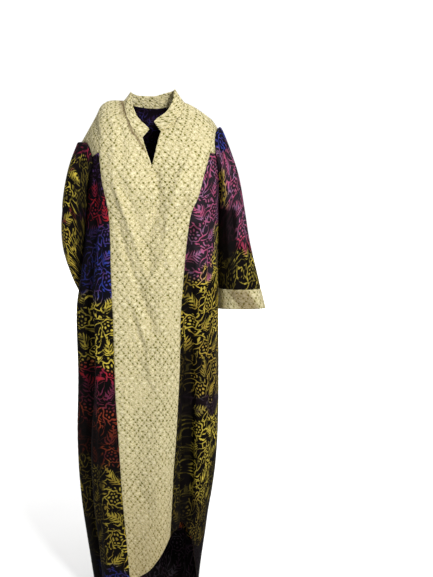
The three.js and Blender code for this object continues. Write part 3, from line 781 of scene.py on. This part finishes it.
def far(x, y):
    """Distance of a place from 0, 0: the root of the sum of the squares."""
    return (x ** 2.0 + y ** 2.0).root()


def net_distance(off_a, off_b):
    """Millimetres covered by steps in the net's two tilted coordinates."""
    return far((off_a + off_b) * (DIAMOND_WIDE / 2), (off_a - off_b) * (DIAMOND_TALL / 2))


def eyelet_distance(a, b):
    """Distance to the nearest eyelet on the lines where a is whole: two to each side."""
    return net_distance(a.wrapped(), (b * 2.0).wrapped() / 2.0)


def lace_net(a, b, worn):
    """Eyelets on the diamonds' sides and corners, and the lines that join them."""
    apart = eyelet_distance(a, b).least(eyelet_distance(b, a))
    corner = net_distance(a.wrapped(), b.wrapped())
    eyelet = band(apart, 1.3 + worn * 1.8, 1.6).most(band(corner, 2.4, 1.8))
    line = band(abs(a.wrapped()).least(abs(b.wrapped())) * LINE_STEP, 1.0, 1.8)
    return eyelet * ((worn - 0.37) * 6.0).held(), line * (worn * 4.0 - 1.4).held()


def lace_padding(finish, a, b):
    """An oval petal in each diamond, fuller or thinner by chance, and a leaf above and below."""
    in_a, in_b = a.part() - 0.5, b.part() - 0.5
    aside, upward = (in_a + in_b) * (DIAMOND_WIDE / 2), abs(in_a - in_b) * (DIAMOND_TALL / 2)
    chance = finish.chance(a.floor(), b.floor())
    petal = band(far(aside / 8.0, upward / 5.0), 0.45 + chance * 0.4, 0.65)
    leaf = band(far(aside / 3.4, (upward - 9.0) / 3.0), 0.8, 0.6)
    return (petal * (0.35 + chance * 0.65)).most(leaf * 0.6)


# %% The lace's finish
CREAM, SHADED_CREAM, BLUSH = dye(250, 242, 202), dye(188, 174, 122), dye(224, 206, 174)
# The eyelets' dark olive is painted shade, seen through the holes; the middle colour is painted shade that
# grows towards the hem, and the last is painted shade for the streaks.
HOLE_SHADE, HEM_SHADE, SHADOW = dye(108, 106, 18), dye(146, 116, 58), dye(92, 68, 34)
HEM_SHADE_FROM, HEM_SHADE_FULL, HEM_SHADE_SHARE = 980.0, 1500.0, 0.45
FRONT_HALF = 20.0


def lace_finish(name, streaks=()):
    """Petals stand up, eyelets sink, noise makes the thread uneven; streaks are painted shade, of folds and
    of the collar's shadow.
    """
    finish = new_finish(name)
    x, y = finish.flat_place()
    across, back, down = finish.body_place()
    drift = finish.parts(finish.noise(x, y, 50.0, 2.0, 4.0, out=1))
    jolt = finish.parts(finish.noise(x, y, 11.0, 1.0, 6.0, out=1))
    x = x + (drift[0] - 0.5) * 18.0 + (jolt[0] - 0.5) * 5.5
    y = y + (drift[1] - 0.5) * 13.0 + (jolt[1] - 0.5) * 5.5
    a, b = x / DIAMOND_WIDE + y / DIAMOND_TALL, x / DIAMOND_WIDE - y / DIAMOND_TALL
    worn = finish.noise(x, y, 11.0, 2.0, 12.0) * 0.62 + finish.noise(x, y, 95.0, 2.0, 15.0) * 0.38
    eyelet, line = lace_net(a, b, worn)
    raised = lace_padding(finish, a, b)
    grain = finish.noise(x, y, 3.6, 3.0, 2.0)
    cells = finish.vector(x / PEBBLE, y / PEBBLE)
    pebbles = finish.node("ShaderNodeTexVoronoi", values={"Vector": cells, "Scale": 1.0})
    pricks = band(pebbles, 0.33, 0.3) * ((worn - 0.34) * 4.0).held() * (1.0 - raised)
    height = raised * 1.6 - eyelet * 1.3 - line * 0.3 + (grain - pebbles) * 1.3 - pricks
    colour = finish.blend((raised * 0.35 + grain * 2.2 - 0.8).held(), SHADED_CREAM, CREAM)
    blush = ((finish.noise(x, y, 6.0, 2.0, 21.0) - 0.5) * 5.0).held() * 0.5
    colour = finish.blend(blush, colour, BLUSH)
    # Painted shade: eyelets and pricks are painted dark olive for the shade seen through the holes, and the
    # net's lines a little darker.
    colour = finish.blend((eyelet * 0.92 + pricks * 0.6 + line * 0.2).held(), colour, HOLE_SHADE)
    # Painted shade: from 980 mm down the lace turns darker and browner, for the light that falls off towards
    # the hem.
    hem_shade = ((down - HEM_SHADE_FROM) / (HEM_SHADE_FULL - HEM_SHADE_FROM)).held() * HEM_SHADE_SHARE
    colour = finish.blend(hem_shade, colour, HEM_SHADE)
    # Painted shade: each streak darkens the lace towards the shadow colour, on its front half only.
    for streak in streaks:
        shade = dim_streak(across + (worn - 0.5) * 14.0, down, streak)
        colour = finish.blend(shade * ((FRONT_HALF - back) / FRONT_HALF).held(), colour, SHADOW)
    return finish.cloth(colour, 0.86 - raised * 0.1, height, bump=1.0, sheen=0.05)


lace = lace_finish("cream lace")
# Painted shadow: the front lace's streaks paint the collar's shadow on the yoke along its seam, and the
# cuff's streak paints the shade of a fold across it.
front_lace = lace_finish("front lace", [
    (-90, -8, -57, 84, 4, 0.65), (-57, 76, -20, 130, 4, 0.65), (-93, -14, -84, 34, 7, 0.4)])
cuff_lace = lace_finish("shaded cuff lace", [(240, 526, 292, 610, 30, 0.62)])
print("lace diamonds are", DIAMOND_WIDE, "by", DIAMOND_TALL, "mm")

# %% [markdown]
# ## Batik
# Batik is drawn in wax and then dyed, so its flowers, fronds and dots stand light on a dark
# ground, with hand-made wavering lines, and the dye changes colour down the cloth. One motif
# repeated evenly would look printed. So a few motifs sit on staggered lattices, each turned and
# moved by chance: dotted flowers with a frilled ring and rays, fern fronds between them, flowing
# tendrils and dots to fill. Noise bends the whole sheet a little.

# %% Motifs of the batik
MOTIF_WIDE, MOTIF_TALL = 130.0, 66.0
FULL_TURN = 2 * math.pi


def lattice(finish, x, y, wide, tall, seed):
    """Staggered cells: the place from each cell's middle, and three random numbers for the cell."""
    row = (y / tall).floor()
    shifted = x / wide + (row * 0.5).part()
    column = shifted.floor()
    picks = finish.parts(finish.chance(column, row, seed, out=1))
    return (shifted - column - 0.5) * wide, (y / tall - row - 0.5) * tall, picks


def medallion(x, y, picks):
    """A middle dot, seven round it, a scalloped ring and stubby leaves, in polar coordinates."""
    beads, rays = 7, 11
    x, y = x + (picks[0] - 0.5) * 9.0, y + (picks[1] - 0.5) * 7.0
    r = far(x, y)
    angle = y.math("ARCTAN2", x) + picks[2] * 6.28
    turned = (angle * (beads / FULL_TURN)).wrapped() * (FULL_TURN / beads)
    bead = far(r * turned.cos() - 13.0, r * turned.sin())
    ring = abs(r - 23.0 - (angle * float(beads)).cos() * 2.0)
    turn = (angle * (rays / FULL_TURN) + r * 0.045).wrapped()
    leaves = band(abs(turn) * r * (FULL_TURN / rays), 5.2 - r * 0.09, 1.0) * (r - 27.6).above(0.0)
    ink = band(r, 3.3, 1.0).most(band(bead, 3.2, 1.0)).most(band(ring, 1.9, 1.0)).most(leaves)
    return ink, band(r, 37.0, 1.0)


def frond(x, y, picks):
    """A swaying stem with curved leaves slanting up from both sides, and a bud at its tip."""
    lean = (picks[0] - 0.5) * 2.4
    x, y = x * lean.cos() - y * lean.sin(), x * lean.sin() + y * lean.cos()
    rise = 28.0 - y
    sway = x + (rise / 13.0 + picks[1] * 3.0).sin() * 5.0
    aside = abs(sway)
    reach = 19.0 - (rise - 22.0) ** 2.0 * 0.014
    slant = (rise - aside * (0.5 + aside * 0.035)) / 11.5 + sway.above(0.0) * 0.4
    width = ((reach - aside) * 0.34).least(aside * 0.7 + 1.0).least(3.3)
    on_frond = (reach - aside).above(0.0) * (rise - 2.0).above(0.0)
    leaf = band(abs(slant.wrapped()) * 11.5, width, 0.9) * on_frond
    bud = band(far(sway, rise - 57.0), 4.6, 1.0)
    stem = band(aside, 1.5, 1.0) * band(abs(rise - 27.0), 27.0, 1.0)
    return leaf.most(bud).most(stem), band(far(x, y), 35.0, 1.0)


def tendrils(finish, x, y, seed):
    """Lines of equal height on smooth noise, like flowing strokes, with dots between them."""
    flow = finish.noise(x, y, 36.0, 0.4, seed) * 7.5
    line = band(abs(flow.wrapped()), 0.2, 0.05)
    dot_x, dot_y, picks = lattice(finish, x, y, 12.0, 10.5, seed + 3.0)
    dot = band(far(dot_x, dot_y), 1.4 + picks[0] * 1.9, 1.0)
    among = (finish.noise(x, y, 30.0, 0.0, seed + 9.0) - 0.55).above(0.0)
    return line * (1.0 - among) + dot * among


def batik_ink(finish, x, y, seed):
    """All the motifs together: 1 where the wax kept the cloth light."""
    bend = finish.parts(finish.noise(x, y, 38.0, 1.0, seed, out=1))
    shake = finish.parts(finish.noise(x, y, 7.0, 1.0, seed + 2.0, out=1))
    x = x + (bend[0] - 0.5) * 26.0 + (shake[0] - 0.5) * 3.6
    y = y + (bend[1] - 0.5) * 26.0 + (shake[1] - 0.5) * 3.6
    flowers, near_flower = medallion(*lattice(finish, x, y, MOTIF_WIDE, MOTIF_TALL, seed))
    fronds, near_frond = frond(
        *lattice(finish, x + MOTIF_WIDE / 2, y, MOTIF_WIDE, MOTIF_TALL, seed + 5.0))
    fill = tendrils(finish, x, y, seed) * (1.0 - near_flower) * (1.0 - near_frond)
    return flowers.most(fronds * near_frond * (1.0 - near_flower)).most(fill)


# %% Dyes of the batik
YELLOW, OLIVE, OCHRE = dye(216, 194, 76), dye(118, 106, 46), dye(180, 152, 60)
MAGENTA, LILAC, ROSE = dye(176, 80, 116), dye(146, 104, 140), dye(196, 76, 106)
CRIMSON, RED, RUST = dye(140, 38, 62), dye(176, 38, 46), dye(146, 62, 34)
BLUE, INDIGO, VIOLET = dye(52, 68, 160), dye(60, 54, 118), dye(88, 60, 116)
MAROON, SLATE, DUSK = dye(92, 34, 40), dye(54, 49, 54), dye(52, 31, 46)
WINE, SMOKE = dye(104, 42, 68), dye(40, 33, 39)
BLACK, NAVY, PLUM, INK = dye(12, 9, 9), dye(26, 19, 27), dye(22, 15, 18), dye(15, 14, 23)
THREAD_STEP = 0.9


def bands_of(length, *zones):
    """Ramp stops from (down to, colour) zones, with a short blend between neighbours."""
    blend, stops, start = 0.006, [], 0.0
    for end, colour in zones:
        stops += [(min(1.0, start + blend), colour), (max(0.0, end / length - blend), colour)]
        start = end / length
    return stops


def batik_finish(name, seed, length, inks, grounds, streaks=(), patches=(), stray=130.0, roam=0.0):
    """Inks and grounds are zones down the garment; each ink has a second tone that drifts in.

    The zones' edges stray by short waves, and by long ones where roam is above 0. Streaks are
    painted shade, folds and hollows where ink and ground darken towards black, and patches are
    places dipped once more in another dye.
    """
    finish = new_finish(name)
    x, y = finish.flat_place()
    across, _, down = finish.body_place()
    ink = batik_ink(finish, x, y, seed)
    wander = finish.noise(x, y, 60.0, 2.0, seed + 20.0) - 0.5
    slow = finish.noise(x, y, 230.0, 1.0, seed + 44.0) - 0.5
    place = ((down + wander * stray + slow * roam) / length).held()
    ramp = lambda zones: finish.node("ShaderNodeValToRGB", {"stops": bands_of(length, *zones)}, {0: place})
    first = ramp([(end, one) for end, one, two in inks])
    second = ramp([(end, two) for end, one, two in inks])
    drift = ((finish.noise(x, y, 26.0, 2.0, seed + 25.0) - 0.42) * 4.5).held()
    mottle = finish.noise(x, y, 16.0, 4.0, seed + 30.0)
    share = ink * (0.35 + mottle * 1.1).held()
    across = across + wander * 40.0
    ground = ramp(grounds)
    # Painted shade: each streak fades the ink and darkens the ground towards black.
    for streak in streaks:
        dim = dim_streak(across, down, streak)
        share = share * (1.0 - dim)
        ground = finish.blend(dim, ground, BLACK)
    stroke = finish.blend(drift, first, second)
    for patch, dipped in patches:
        stroke = finish.blend(dim_streak(across, down, patch), stroke, dipped)
    weave = (x * (FULL_TURN / THREAD_STEP)).sin() * (y * (FULL_TURN / THREAD_STEP)).sin()
    colour = finish.blend(share, ground, stroke)
    return finish.cloth(colour, 0.72 + mottle * 0.2, weave * 0.05 + mottle * 0.4, bump=0.3, sheen=0.0)


# %% Finishes of the batik pieces
# Painted shade: this panel's streaks darken its outer side, which turns away from the light, and the hollow
# under the sleeve.
batik_right = batik_finish(
    "batik right front", 11.0, 1600.0,
    [(240, DUSK, VIOLET), (335, RED, CRIMSON), (395, INDIGO, VIOLET), (548, BLUE, VIOLET),
     (762, YELLOW, OLIVE), (800, CRIMSON, RED), (885, WINE, MAROON), (1060, RUST, MAROON),
     (1385, YELLOW, OCHRE), (1470, INDIGO, BLUE), (1600, OCHRE, OLIVE)],
    [(240, PLUM), (548, INK), (1600, BLACK)],
    [(-200, 150, -196, 560, 30, 0.7), (-235, 560, -195, 1000, 34, 0.6),
     (-195, 940, -182, 1560, 42, 0.88), (-132, 930, -118, 1600, 34, 0.5),
     (-222, 1250, -200, 1600, 34, 0.85)])
# Painted shade: this panel's streaks darken the deep fold beside the lace and the panel's hollows; its patch
# is yellow dye.
batik_left = batik_finish(
    "batik left front", 23.0, 1600.0,
    [(485, MAGENTA, LILAC), (690, YELLOW, OCHRE), (850, OCHRE, OLIVE), (900, SLATE, DUSK),
     (1170, YELLOW, OLIVE), (1320, OLIVE, OCHRE), (1600, SLATE, DUSK)],
    [(485, SMOKE), (850, BLACK), (905, PLUM), (1600, BLACK)],
    [(112, 330, 92, 590, 14, 0.72), (102, 870, 98, 1180, 14, 0.7), (88, 700, 66, 1440, 32, 0.84),
     (142, 520, 136, 690, 36, 0.3), (188, 1020, 148, 1480, 16, 0.85),
     (130, 1180, 110, 1500, 50, 0.6)],
    [((186, 345, 176, 520, 12, 1.0), YELLOW)])
batik_back = batik_finish(
    "batik back", 37.0, 1700.0,
    [(180, DUSK, INDIGO), (420, MAGENTA, LILAC), (700, YELLOW, OLIVE), (860, CRIMSON, RED),
     (1020, RUST, MAROON), (1260, YELLOW, OCHRE), (1360, OLIVE, RUST), (1700, SLATE, DUSK)],
    [(420, NAVY), (860, BLACK), (1020, PLUM), (1700, BLACK)], stray=140.0, roam=360.0)
# Painted shade: this sleeve's streaks darken its inner side, in the shadow between the sleeve and the body.
sleeve_batik_right = batik_finish(
    "batik right sleeve", 51.0, 700.0,
    [(160, DUSK, CRIMSON), (300, YELLOW, OLIVE), (330, RUST, INDIGO), (560, YELLOW, OCHRE),
     (700, OLIVE, YELLOW)],
    [(170, PLUM), (700, BLACK)],
    [(-190, 150, -206, 620, 25, 0.84), (-226, 250, -222, 420, 16, 0.5)])
# Painted shade: this sleeve's streaks darken its inner side, where it folds in beside the body; its patch is
# yellow dye.
sleeve_batik_left = batik_finish(
    "batik left sleeve", 64.0, 700.0,
    [(122, INDIGO, BLUE), (385, MAGENTA, LILAC), (420, ROSE, CRIMSON), (700, YELLOW, OLIVE)],
    [(122, INK), (405, SMOKE), (700, BLACK)],
    [(204, 288, 210, 430, 32, 0.97), (206, 400, 212, 560, 26, 0.85), (250, 400, 262, 560, 34, 0.45)],
    [((188, 185, 195, 288, 16, 1.0), YELLOW)])
print("batik finishes:", [m.name for m in bpy.data.materials if m.name.startswith("batik")])

# %% [markdown]
# ## The body's pieces
# The lace front is one piece with its yoke, open along the slit. The batik side panels start
# under the yoke, and the back is whole. Below the slit the two columns of its edges lie on one
# another, so there they are made one, and the cloth is whole.

# %% Sewing the body
rows = np.arange(CAP_ROWS + SKIRT_ROWS)[:, None]
columns = np.arange(front_points.shape[1] - 1)[None, :]
in_yoke = rows < YOKE_ROW
in_lace = (in_yoke | ((columns >= LEFT_SEAM) & (columns < RIGHT_SEAM))) & (columns != SLIT_LEFT)
SAME_PLACE = 0.02
numbers = np.arange(front_points.shape[0] * front_points.shape[1]).reshape(front_points.shape[:2])
slit_width = np.linalg.norm(front_points[:, SLIT_LEFT] - front_points[:, SLIT_RIGHT], axis=-1)
closed = slit_width < SAME_PLACE
numbers[:, SLIT_RIGHT] = np.where(closed, numbers[:, SLIT_LEFT], numbers[:, SLIT_RIGHT])
sew("lace_front", "front_lace_panel", front_points, front_flat, in_lace, front_lace,
    same=numbers)
sew("batik_front_right", "front_side_panel_right", front_points, front_flat,
    ~in_yoke & (columns < LEFT_SEAM), batik_right)
sew("batik_front_left", "front_side_panel_left", front_points, front_flat,
    ~in_yoke & (columns >= RIGHT_SEAM), batik_left)
whole_back = np.ones((back_points.shape[0] - 1, back_points.shape[1] - 1), bool)
sew("batik_back", "back_panel", back_points, back_flat, whole_back, batik_back)

# %% [markdown]
# ## Sleeves and cuffs
# A sleeve is a tube sewn into the armhole. A circle swept along the arm would meet the body in a
# straight cut, not in the armhole's bent loop. So each thread along the sleeve is a smooth curve
# that starts on the armhole and runs through a few rings, which are flattened loops set by their
# outer and inner ends. The wearer's right arm is bent back, so that its cuff lies behind the
# hip; the left one hangs and widens to its cuff.

# %% Rings of the sleeves
RING = "out_x out_y out_z in_x in_y in_z fore lean"
SLEEVES = {
    "right": table(
        RING, (239, 2, -188, 188, 8, -282, 68, 0), (262, 6, -300, 185, 20, -348, 76, 0),
        (283, 8, -405, 185, 24, -428, 80, -3), (306, 8, -498, 188, 26, -508, 82, -7),
        (317, 10, -542, 192, 27, -545, 84, -9), (333, 12, -602, 193, 28, -608, 86, -11)),
    "left": table(
        RING, (-247, 2, -188, -189, 4, -276, 66, 0), (-267, 8, -296, -193, 18, -338, 74, 6),
        (-272, 34, -398, -202, 42, -410, 74, 20), (-254, 75, -493, -204, 69, -481, 62, 27),
        (-228, 126, -577, -175, 114, -559, 60, 33), (-210, 168, -630, -150, 152, -610, 62, 37))}
AROUND, SLEEVE_ROWS, CUFF_ROWS = 120, 96, 20
HEAD_FADE, JOIN_COLUMNS = 40.0, 6


def armhole(angle, side):
    """The loop that a sleeve starts from: 0 is the shoulder tip, pi the armpit, the front first."""
    sign = -1 if side == "left" else 1
    front = angle <= np.pi
    t = np.where(front, angle, 2 * np.pi - angle) / np.pi
    places = sign * reach_across(t, side)
    return np.where(front[:, None], folded_body(places, t, "front"), folded_body(places, t, "back"))


def sleeve_stations(angle, side):
    """The armhole, the sleeve head just outside it, and the rings."""
    start, out = armhole(angle, side), -1 if side == "left" else 1
    under = 0.5 - np.cos(angle) / 2
    head = start + np.stack([out * mix(16, 8, under), 0 * under, -mix(9, 12, under)], axis=-1)
    stations = [start, head]
    for out_x, out_y, out_z, in_x, in_y, in_z, fore, lean in zip(*SLEEVES[side].values()):
        outer, inner = np.array([out_x, out_y, out_z]), np.array([in_x, in_y, in_z])
        ahead = np.array([0, -math.cos(math.radians(lean)), -math.sin(math.radians(lean))])
        stations.append((outer + inner) / 2 + (outer - inner) / 2 * np.cos(angle)[:, None]
                        + ahead * fore * np.sin(angle)[:, None])
    return np.array(stations)


def sleeve_tube(side):
    """Smooth curves along the sleeve through its stations, one for each angle round it."""
    angle = np.pi + 2 * np.pi * np.arange(AROUND + 1) / AROUND
    stations = sleeve_stations(np.mod(angle, 2 * np.pi), side)
    last = len(stations) - 1
    cuff_top = (last - 1) / last
    t = np.concatenate([cuff_top * np.arange(SLEEVE_ROWS) / SLEEVE_ROWS,
                        mix(cuff_top, 1, np.arange(CUFF_ROWS + 1) / CUFF_ROWS)]) * last
    k = np.minimum(t.astype(int), last - 1)
    before, after = np.maximum(k - 1, 0), np.minimum(k + 2, last)
    wide = lambda values: values[:, None, None]
    start = (stations[k + 1] - stations[before]) / wide(k + 1 - before)
    end = (stations[after] - stations[k]) / wide(after - k)
    return hermite(stations[k], start, stations[k + 1], end, wide(t - k))


def sleeve_surface(side, creases, seed):
    """The tube sunk by creases, waves and two seams, alike where its two long edges meet."""
    points = sleeve_tube(side)
    flat = flat_cloth(points, AROUND // 2, 0)
    normals = normals_from(points.mean(axis=1, keepdims=True), points)
    around, down = flat[..., 0], flat[..., 1]
    folds = crease_depth(around, down, creases) + slight_waves(around, down, seed)
    cuff_seam = seam_depth(np.abs(down - down[SLEEVE_ROWS]), around, seed)
    sunk = folds * smooth(down / HEAD_FADE) + cuff_seam + seam_depth(down, around)
    from_edge = np.minimum(np.arange(AROUND + 1), AROUND - np.arange(AROUND + 1))
    sunk = mix(sunk[:, :1], sunk, smooth(from_edge / JOIN_COLUMNS))
    return points - normals * sunk[..., None], flat


# %% Sewing the sleeves
SLEEVE_CREASES = {
    "left": table(
        CREASE, (-50, 80, -90, 190, 10, 11, 4.5), (-20, 150, -100, 260, -12, 12, 5.0),
        (20, 210, -80, 300, 10, 12, 4.0), (60, 100, 90, 300, 6, 12, 4.0),
        (120, 60, 100, 330, -8, 14, 4.5), (-110, 300, -20, 420, 10, 12, 4.0)),
    "right": table(
        CREASE, (60, 60, 95, 330, 8, 13, 9.0), (20, 90, 40, 420, 6, 12, 4.0),
        (-40, 60, -20, 380, 6, 14, 4.0), (110, 150, 130, 420, -6, 12, -4.0),
        (-90, 120, -80, 420, -6, 14, 4.5), (-130, 60, -110, 360, 6, 14, 4.0))}
sleeve_grids = []
for side, wearers, batik, cuff, seed in (
        ("left", "right", sleeve_batik_right, lace, 0.8),
        ("right", "left", sleeve_batik_left, cuff_lace, 2.6)):
    points, flat = sleeve_surface(side, SLEEVE_CREASES[side], seed)
    sleeve_grids.append((points, normals_from(points.mean(axis=1, keepdims=True), points)))
    ring_rows = np.arange(len(points) - 1)[:, None] + 0 * np.arange(AROUND)
    numbers = np.arange(points.shape[0] * points.shape[1]).reshape(points.shape[:2])
    numbers[:, -1] = numbers[:, 0]
    sleeve, band_name = f"batik_sleeve_{wearers}", f"lace_cuff_{wearers}"
    sew(sleeve, f"sleeve_{wearers}", points, flat, ring_rows < SLEEVE_ROWS, batik,
        same=numbers)
    from_seam = flat - flat[SLEEVE_ROWS] * np.array([0, 1])
    sew(band_name, f"cuff_band_{wearers}", points, from_seam, ring_rows >= SLEEVE_ROWS, cuff,
        thick=CUFF_THICK, same=numbers)

# %% [markdown]
# ## The stand collar
# The collar is a doubled band of lace that grows from the neckline and leans in over it. It runs
# from one edge of the slit round the back of the neck to the other, and its front corners lean
# over the slit. Copying the neckline upwards would make a straight tube. Straight ribs that each
# have their own height and lean follow the worn collar, which stands higher on one side.

# %% Collar
COLLAR = table(
    "along height lean", (0, 32, 36), (0.12, 36, 34), (0.3, 32, 40), (0.5, 38, 22), (0.7, 46, 36),
    (0.88, 42, 36), (1, 36, 36))
COLLAR_ROWS, COLLAR_COLUMNS, CORNER_LEAN = 16, 180, 13.0


def neckline():
    """The open edge of the neck from the slit round the back to the slit again."""
    ahead, behind = front_points[0], back_points[0]
    in_neck = lambda line: (line[:, 0] > -NECK_LEFT) & (line[:, 0] < NECK_RIGHT)
    left = ahead[:SLIT_LEFT + 1][in_neck(ahead[:SLIT_LEFT + 1])][::-1]
    right = ahead[SLIT_RIGHT:][in_neck(ahead[SLIT_RIGHT:])][::-1]
    line = np.concatenate([left, behind[in_neck(behind)], right])
    runs = run_along(line)
    even = np.linspace(0, runs[-1], COLLAR_COLUMNS + 1)
    return np.stack([np.interp(even, runs, line[:, k]) for k in range(3)], axis=-1)


def collar_surface():
    """Straight ribs from the neckline, leaned inward; their height and lean follow the table."""
    line = neckline()
    along = np.linspace(0, 1, len(line))
    inward = unit(np.stack([-line[:, 0], -10 - line[:, 1], 0 * along], axis=-1))
    lean = np.radians(look(COLLAR, "along", "lean", along))
    end = np.clip(np.minimum(along, 1 - along) / 0.09, 0, 1)
    height = look(COLLAR, "along", "height", along) * (0.8 + 0.2 * np.sqrt(1 - (1 - end) ** 2))
    v = np.linspace(0, 1, COLLAR_ROWS + 1)[:, None]
    rise = 0.6 + height * v
    points = line[None] + inward[None] * (np.sin(lean) * rise)[..., None]
    points[..., 2] += np.cos(lean) * rise
    points[..., 0] += np.where(along < 0.5, 1, -1) * CORNER_LEAN * (1 - smooth(end)) * v
    normals = grid_normals(points, 1)
    wave = 0.9 * np.sin(along * 46 + 3 * v) * v + 0.6 * np.sin(along * 19 + 1) * v
    fold = 3.5 * np.exp(-((along - 0.2 - 0.05 * v) / 0.022) ** 2) * np.sin(np.pi * v)
    return points + normals * (wave - fold)[..., None], flat_cloth(points, COLLAR_COLUMNS // 2, 0)


collar_points, collar_flat = collar_surface()
sew("lace_collar", "stand_collar", collar_points, collar_flat,
    np.ones((COLLAR_ROWS, COLLAR_COLUMNS), bool), lace, thick=COLLAR_THICK)

# %% [markdown]
# ## Stitches
# The seams are held down by rows of machine stitches, 2.6 mm long and one every 4 mm: cream
# thread on the lace, beside its seams, slit and collar, and dark thread along the batik's hems.
# A picture of stitches would lie flat in the cloth, and modelled thread with its twist would be
# far too heavy. So a stitch is a tiny bar of six faces, and all the bars of a thread are one mesh.

# %% Rows of stitches
STITCH_STEP, STITCH_HALF, STITCH_FOOT, STITCH_SIDE, STITCH_UP = 4.0, 1.0, 1.3, 0.35, 0.25
BAR = np.array([(3, 2, 1, 0), (4, 5, 6, 7), (0, 1, 5, 4), (1, 2, 6, 5), (2, 3, 7, 6), (3, 0, 4, 7)])


def stitch_row(points, outward, line, beside, away=3.0, lift=BATIK_THICK / 2 + 0.35):
    """Bars along a line of a grid that is moved sideways by `away` and outward by `lift`."""
    path = points[line] + unit(points[beside] - points[line]) * away
    runs = run_along(path)
    at = np.arange(3.0, runs[-1] - 3.0, STITCH_STEP)
    where = lambda values, place: np.stack([np.interp(place, runs, values[:, k]) for k in range(3)], axis=-1)
    middle, up = where(path, at), unit(where(outward[line], at))
    along = unit(where(path, at + 1.0) - where(path, at - 1.0))
    side = np.cross(up, along)
    corners = []
    for rise, half in ((-STITCH_UP, STITCH_FOOT), (STITCH_UP, STITCH_HALF)):
        for a, b in ((-1, -1), (1, -1), (1, 1), (-1, 1)):
            corners.append(middle + up * (lift + rise) + along * a * half + side * b * STITCH_SIDE)
    return np.stack(corners, axis=1)


def stitches(name, rows, colour):
    """One mesh of all the bars of one thread."""
    bars = np.concatenate(rows)
    faces = (np.arange(len(bars))[:, None, None] * 8 + BAR).reshape(-1, 4)
    mesh = bpy.data.meshes.new(name)
    mesh.from_pydata((bars.reshape(-1, 3) * MM).tolist(), [], faces.tolist())
    finish = new_finish(name + " finish")
    spot = finish.node("ShaderNodeTexCoord", out=3)
    twist = finish.node("ShaderNodeTexNoise", values={"Vector": spot, "Scale": 900.0})
    shade = finish.blend(twist, dye(*(v * 0.8 for v in colour)), dye(*colour))
    mesh.materials.append(finish.cloth(shade, 0.6 + twist * 0.2, twist * 0.1, bump=0.3, sheen=0.0))
    piece = put_in_scene(name, mesh)
    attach(piece, "root")
    print(name, len(bars), "stitches")


# %% The cream rows on the lace
front = front_points, grid_normals(front_points, -1)
back = back_points, grid_normals(back_points, 1)
collar = collar_points, normals_from(collar_points.mean(axis=(0, 1)), collar_points)
cream_rows = []
for seam, step in ((LEFT_SEAM, 1), (RIGHT_SEAM, -1)):
    cream_rows.append(stitch_row(*front, np.s_[YOKE_ROW:, seam], np.s_[YOKE_ROW:, seam + step]))
for part in (np.s_[2:LEFT_SEAM], np.s_[RIGHT_SEAM + 1:-2]):
    cream_rows.append(stitch_row(*front, (YOKE_ROW, part), (YOKE_ROW - 1, part)))
slit_foot = int(np.argmax(closed))
for edge, step in ((SLIT_LEFT, -1), (SLIT_RIGHT, 1)):
    cream_rows.append(stitch_row(*front, np.s_[1:slit_foot, edge], np.s_[1:slit_foot, edge + step], 4.0))
for sleeve_grid in sleeve_grids:
    cream_rows.append(stitch_row(*sleeve_grid, SLEEVE_ROWS, SLEEVE_ROWS + 1, lift=CUFF_THICK / 2 + 0.4))
for line, beside in ((0, 1), (-1, -2)):
    cream_rows.append(stitch_row(*collar, line, beside, lift=COLLAR_THICK / 2 + 0.35))
stitches("cream_thread", cream_rows, (226, 212, 160))

# %% The dark rows along the batik's hems
dark_rows = []
for grid, part in ((front, np.s_[:LEFT_SEAM]), (front, np.s_[RIGHT_SEAM:-1]), (back, np.s_[:-1])):
    dark_rows.append(stitch_row(*grid, (-1, part), (-2, part), 4.0))
stitches("dark_thread", dark_rows, (60, 48, 34))

# %% [markdown]
# ## Floor and sky
# A wide pale floor, matt and very slightly uneven, lies just under the train. A sky of one
# brightness would light the garment's front as strongly as the lamps, so it is bright only behind
# the garment and dim in front of it.

# %% Floor and sky
FLOOR_HALF, FLOOR_GAP = 6.0, 0.003


def floor_finish():
    """Pale grey that varies a little with noise."""
    finish = new_finish("pale floor")
    spot = finish.node("ShaderNodeTexCoord", out=3)
    fine = finish.node("ShaderNodeTexNoise", values={"Vector": spot, "Scale": 6.0, "Detail": 3.0})
    colour = finish.blend(fine, (0.90, 0.90, 0.90), (0.94, 0.94, 0.94))
    return finish.cloth(colour, 0.85 + fine * 0.1, fine, bump=0.05, sheen=0.0)


def sky_finish():
    """Strength 0.2 in most directions, and 1.05 in the narrow cone straight behind the garment."""
    finish = Nodes(bpy.data.worlds.new("studio"))
    way = finish.parts(finish.node("ShaderNodeTexCoord"))[1]
    strength = finish.node("ShaderNodeMapRange", values={0: way, 1: 0.8, 2: 0.93, 3: 0.2, 4: 1.05})
    shine = finish.node("ShaderNodeBackground", values={"Color": (1, 1, 1, 1), "Strength": strength})
    finish.node("ShaderNodeOutputWorld", values={"Surface": shine})
    return finish.owner


bpy.context.scene.world = sky_finish()
low = cad_box[0][2] - FLOOR_GAP
corners = [(x * FLOOR_HALF, y * FLOOR_HALF, low) for x, y in ((-1, -1), (1, -1), (1, 1), (-1, 1))]
ground = bpy.data.meshes.new("floor")
ground.from_pydata(corners, [], [(0, 1, 2, 3)])
floor = put_in_scene("floor", ground)
floor.data.materials.append(floor_finish())
print("the floor lies at", round(low, 3))
